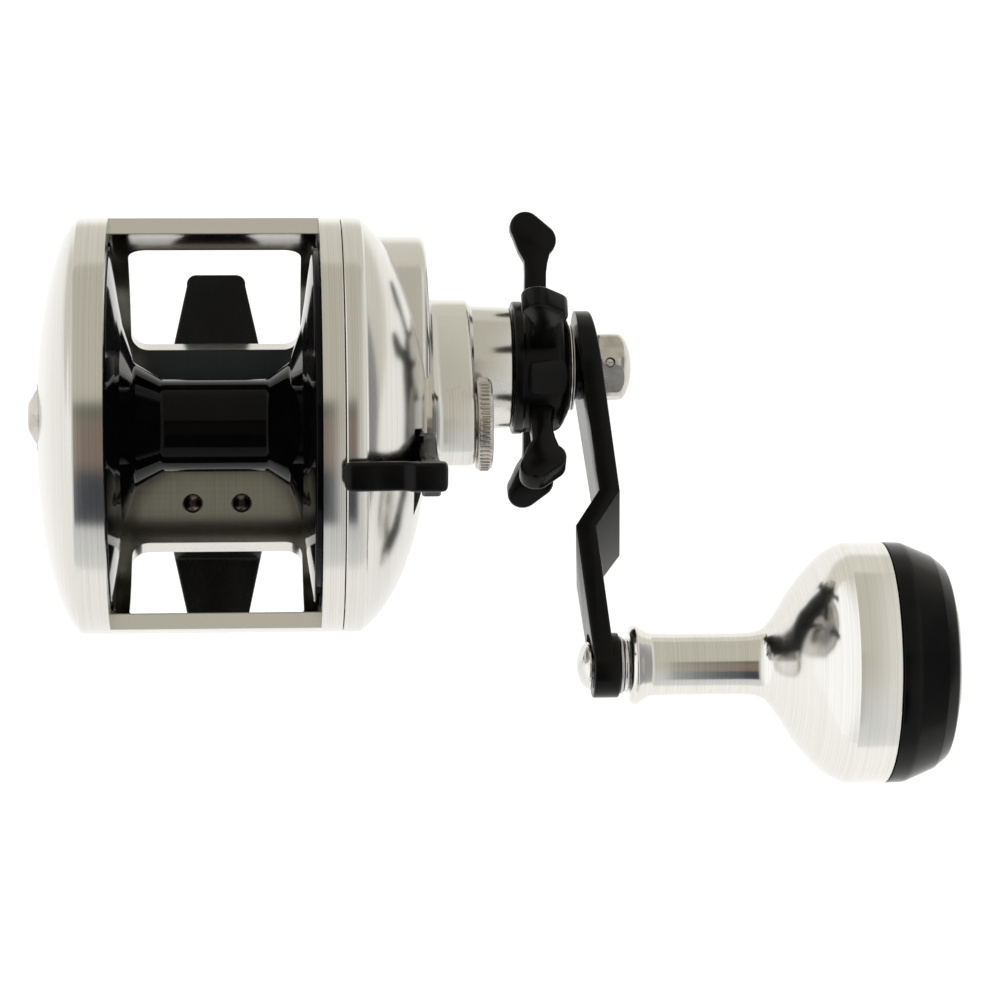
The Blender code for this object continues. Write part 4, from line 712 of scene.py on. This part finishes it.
def make_tension_cap():
    start = BOSS_END + 0.3
    profile = [(44.1, 0), (44.1, 5.8), (start, 5.8), (start, 8.15, 0.3), (CAP_END, 8.15, 0.4), (CAP_END, 5.6, 0.2),
               (CAP_END - 0.25, 5.3), (CAP_END - 0.25, 0)]
    body = turned("knurled_cap", profile, SPOOL_AXIS)
    ridge = ridge_along([(start + 0.35, 8.1, 0.02), (start + 0.7, 8.1, 0.38), (CAP_END - 0.7, 8.1, 0.38),
                         (CAP_END - 0.35, 8.1, 0.02)], 0.34)
    knurl(body, ridge, 56, SPOOL_AXIS, nickel)
    return finish(body, nickel, "tension_cap", sharp=25)


def make_click_button():
    axis = middle("click_button")
    seat = BUTTON_TIP + 3.8
    profile = [(-21.6, 0), (-21.6, 1.5), (seat - 0.3, 1.5), (seat - 0.3, 5.3, 0.2), (seat - 0.9, 5.3, 0.2),
               (seat - 2.35, 3.15, 0.3), (seat - 2.7, 2.6, 0.3), (seat - 2.5, 0)]
    body = turned("click_knob", profile, axis)
    ridge = ridge_along([(seat - 0.35, 5.25, 0.02), (seat - 0.55, 5.2, 0.34), (seat - 0.95, 5.0, 0.34),
                         (seat - 2.1, 3.3, 0.2), (seat - 2.3, 3.1, 0.02)], 0.26)
    knurl(body, ridge, 40, axis, nickel)
    return finish(body, nickel, "click_button", sharp=25)


# -------------------------------------------------------------------------- lever
def make_lever():
    """Free-spool lever: thumb bar with a scooped top, arm and foot."""
    base = SPOOL_AXIS[1] + PLATE_R + 0.8
    tall, half = 2.6, 2.55
    left, right = low("clutch_lever").x, high("clutch_lever").x
    loops = []
    for x, inset, drop in ((left, 0.9, 1.1), (left + 0.25, 0.35, 0.85), (left + 0.8, 0.06, 0.6), (left + 1.6, 0, 0.5),
                           (left + 5.5, 0, 0.75), (left + 9.5, 0, 0.95), (left + 10.6, 0, 0.75), (left + 11.3, 0, 0.3),
                           (left + 11.8, 0, 0.06), (left + 12.4, 0, 0), (right - 1.2, 0, 0), (right - 0.5, 0.1, 0.1),
                           (right - 0.15, 0.4, 0.4), (right, 0.9, 0.9)):
        loops.append(rounded_box(x, half - inset, base + inset * 0.6, base + tall - drop, 0.75))
    body = loft("thumb_lever", loops)
    plan = [(-3.3, 17.0), (2.4, 17.0), (2.4, 21.5), (1.0, 26.0), (1.2, 31.0), (2.2, 36.5), (2.2, 39.0), (-2.2, 39.0),
            (-4.2, 36.5), (-4.4, 30), (-3.6, 21.5)]
    plan = [(y, SPOOL_AXIS[1] + z) for y, z in plan]
    join(body, slab("lever_arm", plan, 35.3, 38.6, edge=0.5))
    foot = [(y, SPOOL_AXIS[1] + z) for y, z in ((-3, 17.0), (3, 17.0), (3, 22.0), (-3, 22.0))]
    join(body, slab("lever_foot", foot, 31.25, 36.3))
    spot = (0, SPOOL_AXIS[1] + 19.4)
    way = [(0, 0), (0, 1.25), (36.9, 1.25), (36.9, 2.1), (60, 2.1), (60, 0)]
    cut(body, turned("screw_way", way, spot, 32))
    return finish(swing(body, 20.5, SPOOL_AXIS), blasted_black, "clutch_lever")


def rounded_box(x, half, bottom, top, radius):
    """Cross-section of a bar along X, its corners rounded."""
    radius = min(radius, half * 0.9, (top - bottom) * 0.45)
    corners = ((half - radius, bottom + radius, -90), (half - radius, top - radius, 0),
               (radius - half, top - radius, 90), (radius - half, bottom + radius, 180))
    return [(x, y, z) for cy, cz, start in corners for y, z in arc((cy, cz), radius, start, start + 90, 5)]


# --------------------------------------------------------------------- star wheel
def make_star():
    """Star wheel: collar, scalloped hub and five paddles with two-lobed ends."""
    profile = [(STAR_X, 0), (STAR_X, 12.3, 0.35), (STAR_X + 1.7, 12.3, 0.35), (STAR_X + 1.95, 12.0, 0.1),
               (STAR_END - 1.6, 12.0, 1.6), (STAR_END, 8.6, 0.8), (STAR_END, 0)]
    body = turned("star_wheel", profile, CRANK_AXIS, FINE)
    for arm in range(5):
        turn = math.radians(36 + 72 * arm)
        spot = (CRANK_AXIS[0] + 16.6 * math.cos(turn), CRANK_AXIS[1] + 16.6 * math.sin(turn))
        cut(body, turned("scallop", [(STAR_X + 2.3, 0), (STAR_X + 2.3, 5.6, 1.2), (STAR_END + 1, 6.4),
                                     (STAR_END + 1, 0)], spot, 64))
    reach = high("star_drag_wheel").y - CRANK_AXIS[0]
    first = (STAR_X + 3.0, reach - 2.9)
    second = (STAR_X + 5.6, reach - 5.4)
    outline = [(STAR_X + 2.6, 9.0), (STAR_X + 2.6, 13.0), (STAR_X + 2.75, 17.8), (STAR_X + 2.7, 19.8),
               (STAR_X + 1.7, 21.6)]
    outline += arc(first, 2.9, 212, 46, 20) + arc(second, 3.1, 46, -52, 14)
    outline += [(STAR_X + 7.0, 19.4), (STAR_X + 6.75, 17.6), (STAR_X + 6.7, 15.0), (STAR_X + 6.9, 13.0),
                (STAR_X + 7.6, 11.4), (STAR_X + 7.6, 9.0)]
    for arm in range(5):
        flat = [(x, CRANK_AXIS[0] + y, CRANK_AXIS[1]) for x, y in outline]
        paddle = plate("paddle", flat, (0, 0, -1.95), (0, 0, 1.95), edge=0.6)
        join(body, swing(paddle, 72 * arm, CRANK_AXIS))
    pocket = [(CRANK_AXIS[0] + 6.36 * math.cos(math.radians(60 * k)), CRANK_AXIS[1] + 6.36 * math.sin(math.radians(60 * k)))
              for k in range(6)]
    cut(body, slab("nut_pocket", pocket, STAR_X - 1, STAR_X + 3.4),
        rod("bore", STAR_X - 1, STAR_END + 1, 3.65, CRANK_AXIS, 64))
    return finish(body, blasted_black, "star_drag_wheel")


# ------------------------------------------------------------------------- handle
def arm_offset(along, across):
    """X of the arm's outer face at a place on the arm."""
    bend = 24.0 + (8.0 - across) * 0.69
    step = min(max((along - bend) / 6.1, 0.0), 1.0)
    return 70.6 + 0.13 * along - (4.4 + 6.1 * 0.13) * step


def make_handle_arm():
    """Crank arm: leaning bar with a slanted joggle, rounded rims, and end bosses."""
    bm = bmesh.new()
    outline = belt((0, 0), 10.5, (-55.5, 0), 5.8, 40)
    first = bm.faces.new([bm.verts.new((0, y, z)) for y, z in outline])
    moved = bmesh.ops.extrude_face_region(bm, geom=[first])
    verts = [item for item in moved["geom"] if isinstance(item, bmesh.types.BMVert)]
    bmesh.ops.translate(bm, verts=verts, vec=(-3.8, 0, 0))
    rims = [rim for rim in bm.edges if abs(rim.verts[0].co.x - rim.verts[1].co.x) < 1e-6]
    bmesh.ops.bevel(bm, geom=rims, offset=0.45, segments=3, profile=0.5, affect="EDGES")
    for along in (24.0, 30.1):
        spot = (0, -(along + 8.0 * 0.69), 0)
        bmesh.ops.bisect_plane(bm, geom=bm.verts[:] + bm.edges[:] + bm.faces[:], plane_co=spot,
                               plane_no=(0, 1, -0.69), dist=1e-5)
    for vert in bm.verts:
        vert.co.x += arm_offset(-vert.co.y, vert.co.z)
    bmesh.ops.translate(bm, verts=bm.verts, vec=(0, *CRANK_AXIS))
    body = shape("crank_arm", bm)
    knob_seat = 73.6
    cut(body, rod("inner_face", 57.3, 66.45, 13.5, CRANK_AXIS), rod("nut_face", 70.5, 79.8, 6.9, CRANK_AXIS))
    join(body, turned("hub", [(66.3, 0), (66.3, 6.0, 0.3), (69.9, 6.0), (69.9, 0)], CRANK_AXIS))
    cut(body, rod("spindle_face", knob_seat - 14, knob_seat - 4.6, 5.8, KNOB_AXIS),
        rod("knob_face", knob_seat - 0.2, knob_seat + 9, 6.8, KNOB_AXIS))
    end = [(knob_seat - 4.8, 0), (knob_seat - 4.8, 6.0, 0.35), (knob_seat, 6.0, 0.35), (knob_seat, 0)]
    join(body, turned("end", end, KNOB_AXIS))
    cut(body, rod("shaft_hole", 61, 76, 3.15, CRANK_AXIS, 64), rod("knob_hole", 64, 79, 2.65, KNOB_AXIS, 64))
    return finish(body, blasted_black, "handle_arm", sharp=24)


def make_handle_nut():
    """Acorn nut with six flats and a washer face."""
    seat = NUT_X
    dome_points = [(seat + 3.3 + 2.9 * math.sin(math.radians(a)), 6.4 * math.cos(math.radians(a)))
                   for a in range(0, 90, 8)]
    body = turned("acorn_nut", [(seat, 0), (seat, 6.4, 0.4)] + dome_points + [(seat + 6.2, 0)], CRANK_AXIS)
    across = 11.6 / 2 / math.cos(math.pi / 6)
    flats = [(CRANK_AXIS[0] + across * math.cos(math.radians(60 * k + 30)),
              CRANK_AXIS[1] + across * math.sin(math.radians(60 * k + 30))) for k in range(6)]
    combine(body, slab("flats", flats, seat - 1, seat + 9), "INTERSECT")
    cut(body, rod("thread", seat - 1, seat + 5.0, 3.15, CRANK_AXIS, 48))
    screw = middle("nut_lock_screw")
    x = (low("nut_lock_screw").x + high("nut_lock_screw").x) / 2
    hole = upright("lock_hole", [(CRANK_AXIS[1] + 4.2, 0), (CRANK_AXIS[1] + 4.2, 0.95), (CRANK_AXIS[1] + 12, 0.95),
                                 (CRANK_AXIS[1] + 12, 0)], x, screw[0], 32)
    cut(body, hole)
    return finish(body, nickel, "handle_nut", sharp=20)


def make_lock_screw():
    node = "nut_lock_screw"
    x = (low(node).x + high(node).x) / 2
    y, z = middle(node)
    bottom, top = low(node).z, high(node).z
    body = upright("lock_screw", [(bottom, 0), (bottom, 0.8), (top, 0.8, 0.2), (top, 0)], x, y, 32)
    slot = [(x - 1.2, y - 0.14, 0), (x + 1.2, y - 0.14, 0), (x + 1.2, y + 0.14, 0), (x - 1.2, y + 0.14, 0)]
    cut(body, plate("slot", slot, (0, 0, top - 0.4), (0, 0, top + 1)))
    return finish(body, steel, node)


# --------------------------------------------------------------------------- knob
def make_knob():
    """Power knob: flared foot, slim neck, trumpet cone and straight band."""
    neck_end = KNOB_X + 20.6
    cone = ((0.0, 0.0), (0.10, 0.008), (0.18, 0.028), (0.25, 0.07), (0.33, 0.18), (0.41, 0.32), (0.49, 0.465),
            (0.57, 0.59), (0.65, 0.70), (0.73, 0.80), (0.82, 0.89), (0.91, 0.952), (1.0, 1.0))
    profile = [(KNOB_X, 0), (KNOB_X, 6.3, 0.2), (KNOB_X + 0.45, 7.1, 0.3), (KNOB_X + 1.2, 7.4, 0.5),
               (KNOB_X + 2.3, 6.7, 0.8), (KNOB_X + 4.0, 5.75, 1.2), (KNOB_X + 8.0, 5.62)]
    steps = 48
    for step in range(steps + 1):
        share = step / steps
        profile.append((neck_end + 19.0 * share, 5.65 + 16.65 * between(cone, share)))
    profile += [(KNOB_BAND_END, 22.3, 0.25), (KNOB_BAND_END, 12.0), (116.1, 12.0), (116.1, 0)]
    body = turned("trumpet_knob", profile, KNOB_AXIS, 192)
    ways = [(KNOB_X - 1, 0), (KNOB_X - 1, 4.35), (KNOB_X + 2.8, 4.35), (KNOB_X + 2.8, 2.9), (112.7, 2.9),
            (112.7, 4.35), (117.1, 4.35), (117.1, 0)]
    cut(body, turned("ways", ways, KNOB_AXIS, 64))
    return finish(body, knob_silver, "knob_body", sharp=18)


def between(points, share):
    """Smooth curve through (share, value) points."""
    for number in range(len(points) - 1):
        (a, fa), (b, fb) = points[number], points[number + 1]
        if share <= b:
            before, after = points[max(number - 1, 0)], points[min(number + 2, len(points) - 1)]
            slope_a = (fb - before[1]) / (b - before[0])
            slope_b = (after[1] - fa) / (after[0] - a)
            t = (share - a) / (b - a)
            run = b - a
            return ((2 * t ** 3 - 3 * t ** 2 + 1) * fa + (t ** 3 - 2 * t ** 2 + t) * run * slope_a
                    + (3 * t ** 2 - 2 * t ** 3) * fb + (t ** 3 - t ** 2) * run * slope_b)
    return points[-1][1]


def make_grip_ring():
    """Black end ring of the knob, tapering to its rounded lip."""
    start = low("knob_grip_ring").x + 4.0
    end = high("knob_grip_ring").x
    profile = [(start - 4.0, 9.0), (start - 4.0, 11.6), (start, 11.6), (start, 22.3, 0.25), (start + 3.2, 22.2, 3.0),
               (end - 3.4, 19.9, 1.5), (end - 1.0, 18.0, 1.6), (end - 0.1, 14.9, 0.3), (end - 0.6, 14.3),
               (end - 2.2, 14.3), (end - 2.2, 9.0)]
    return finish(turned("black_end_ring", profile, KNOB_AXIS, 192), ring_black, "knob_grip_ring", sharp=40)


def make_end_cap():
    """Bright end cap: six soft lobes that fade towards a crowned middle."""
    start, end = low("knob_end_cap").x, high("knob_end_cap").x
    rows = ((start, 1.0, 1.0), (end - 1.9, 1.0, 1.0), (end - 1.55, 0.97, 1.0), (end - 1.35, 0.90, 0.9),
            (end - 0.95, 0.72, 0.6), (end - 0.5, 0.5, 0.3), (end - 0.2, 0.3, 0.1), (end, 0.08, 0.0))
    loops = []
    for x, share, lobe in rows:
        loop = []
        for step in range(120):
            angle = math.tau * step / 120
            radius = (13.0 + 0.7 * lobe * math.cos(6 * angle)) * share
            loop.append((x, KNOB_AXIS[0] + radius * math.cos(angle), KNOB_AXIS[1] + radius * math.sin(angle)))
        loops.append(loop)
    return finish(loft("lobed_end_cap", loops), bright_nickel, "knob_end_cap")


def make_spindle():
    """Knob spindle with its domed head."""
    node = "knob_spindle"
    head, end = low(node).x, high(node).x
    seat = head + 2.5
    profile = [(seat - 2.5 * math.cos(math.radians(a)), 4.4 * math.sin(math.radians(a))) for a in range(0, 85, 7)]
    profile[0] = (head, 0)
    profile += [(seat, 4.35, 0.15), (seat, 2.5), (end, 2.5, 0.3), (end, 0)]
    return finish(turned("knob_pin", profile, KNOB_AXIS), bright_nickel, node)


def make_washers():
    """Thin washers beside the crank arm, with rounded rims."""
    for node, material in (("handle_washer_1", bright_nickel), ("handle_washer_2", steel),
                           ("knob_washer_1", steel), ("knob_washer_2", bright_nickel)):
        start, end = low(node), high(node)
        outer = (end.y - start.y) / 2
        bore = 3.15 if node.startswith("handle") else 2.65
        edge = (end.x - start.x) * 0.3
        profile = [(start.x, bore), (start.x, outer, edge), (end.x, outer, edge), (end.x, bore)]
        finish(turned("round_" + node, profile, middle(node)), material, node)


# -------------------------------------------------------------------------- build
make_frame()
make_foot()
make_foot_screws()
make_side_plate()
make_spool()
make_tension_cap()
make_click_button()
make_lever()
make_star()
make_handle_arm()
make_handle_nut()
make_lock_screw()
make_knob()
make_grip_ring()
make_end_cap()
make_spindle()
make_washers()

for node, carried in frame["nodes"].items():
    if not carried.hide_render:
        carried.data.materials.clear()
        carried.data.materials.append(FINISH_OF_SLOT[SLOT_OF[node]])


# -------------------------------------------------------------------------- stage
def make_floor():
    bm = bmesh.new()
    bmesh.ops.create_grid(bm, x_segments=1, y_segments=1, size=3000)
    bmesh.ops.translate(bm, verts=bm.verts, vec=(0, 0, -60))
    floor = shape("floor", bm)
    surface = Surface("pale_floor")
    cloud = surface.noise(surface.x * 0.01, surface.y * 0.01, 0.0)
    front = surface.y.ramp(100.0, 150.0)
    surface.set(Base_Color=surface.mix((0.93, 0.93, 0.93), (0.95, 0.95, 0.95), cloud), Roughness=0.9,
                Emission_Color=surface.mix((1.0, 1.0, 1.0), (0.25, 0.22, 0.10), front), Emission_Strength=0.46)
    floor.data.materials.append(surface.material)


def make_world():
    """Studio: warm front wall, white left and rear walls, and a dim room above."""
    world = bpy.data.worlds.new("studio")
    world.use_nodes = True
    bpy.context.scene.world = world
    tree = world.node_tree
    coords = tree.nodes.new("ShaderNodeTexCoord")
    parts = tree.nodes.new("ShaderNodeSeparateXYZ")
    tree.links.new(coords.outputs["Generated"], parts.inputs[0])
    across, ahead, height = (Value(tree, parts.outputs[axis]) for axis in range(3))
    back = (ahead * -1.0).around(height) * math.degrees(1)     # degrees behind straight up

    def layer(under, over, share):
        mix = tree.nodes.new("ShaderNodeMix")
        mix.data_type = "RGBA"
        feed(tree, mix.inputs[0], share)
        for place, colour in ((6, under), (7, over)):
            feed(tree, mix.inputs[place], colour if isinstance(colour, Value) else (*colour, 1.0))
        return Value(tree, mix.outputs[2])

    dim = layer((0.17, 0.18, 0.14), (0.27, 0.215, 0.18), back.ramp(1.0, 6.0))
    dim = layer(dim, (0.062, 0.070, 0.082), back.ramp(26.0, 37.0))
    rear = layer((0.80, 0.81, 0.81), (1.05, 1.06, 1.05), back.ramp(66.0, 120.0))
    walls = layer((0.66, 0.635, 0.545), rear, back.ramp(0.0, 60.0))
    edge = back.ramp(-8.0, -3.0) * (1.0 - back.ramp(61.0, 66.0))
    edge = edge * (1.0 - across.ramp(0.10, 0.19)) * across.ramp(-0.42, -0.26)
    walls = layer(walls, dim, edge)
    walls = layer(walls, (1.3, 1.3, 1.3), (across * -1.0).ramp(0.30, 0.62))
    right = layer((1.0, 0.99, 0.95), (0.34, 0.34, 0.345), across.ramp(0.50, 0.95))
    walls = layer(walls, right, across.ramp(0.20, 0.42))
    tree.links.new(walls.socket, tree.nodes["Background"].inputs["Color"])


def make_camera():
    """Camera above the reel, tilted a little towards its rear."""
    tilt, roll, distance = math.radians(7.5), math.radians(0.34), 0.630
    aim = Vector((0.0055, SPOOL_AXIS[0] * MM, SPOOL_AXIS[1] * MM))
    away = Vector((0, -math.sin(tilt), math.cos(tilt)))
    right, up = Vector((1, 0, 0)), Vector((0, math.cos(tilt), math.sin(tilt)))
    right, up = (math.cos(roll) * right - math.sin(roll) * up, math.sin(roll) * right + math.cos(roll) * up)
    ahead = (-away + right * 0.07257 - up * 0.02137).normalized()
    right = ahead.cross(up).normalized()
    up = right.cross(ahead)
    lens = bpy.data.cameras.new("camera")
    lens.lens, lens.sensor_width = 126.0, 36.0
    camera = bpy.data.objects.new("camera", lens)
    turn = Matrix((right, up, -ahead)).transposed().to_4x4()
    camera.matrix_world = Matrix.Translation(aim + away * distance) @ turn
    bpy.context.scene.collection.objects.link(camera)
    bpy.context.scene.camera = camera


make_floor()
make_world()
make_camera()
view = bpy.context.scene.view_settings
view.view_transform = "Standard"
view.look = "None"
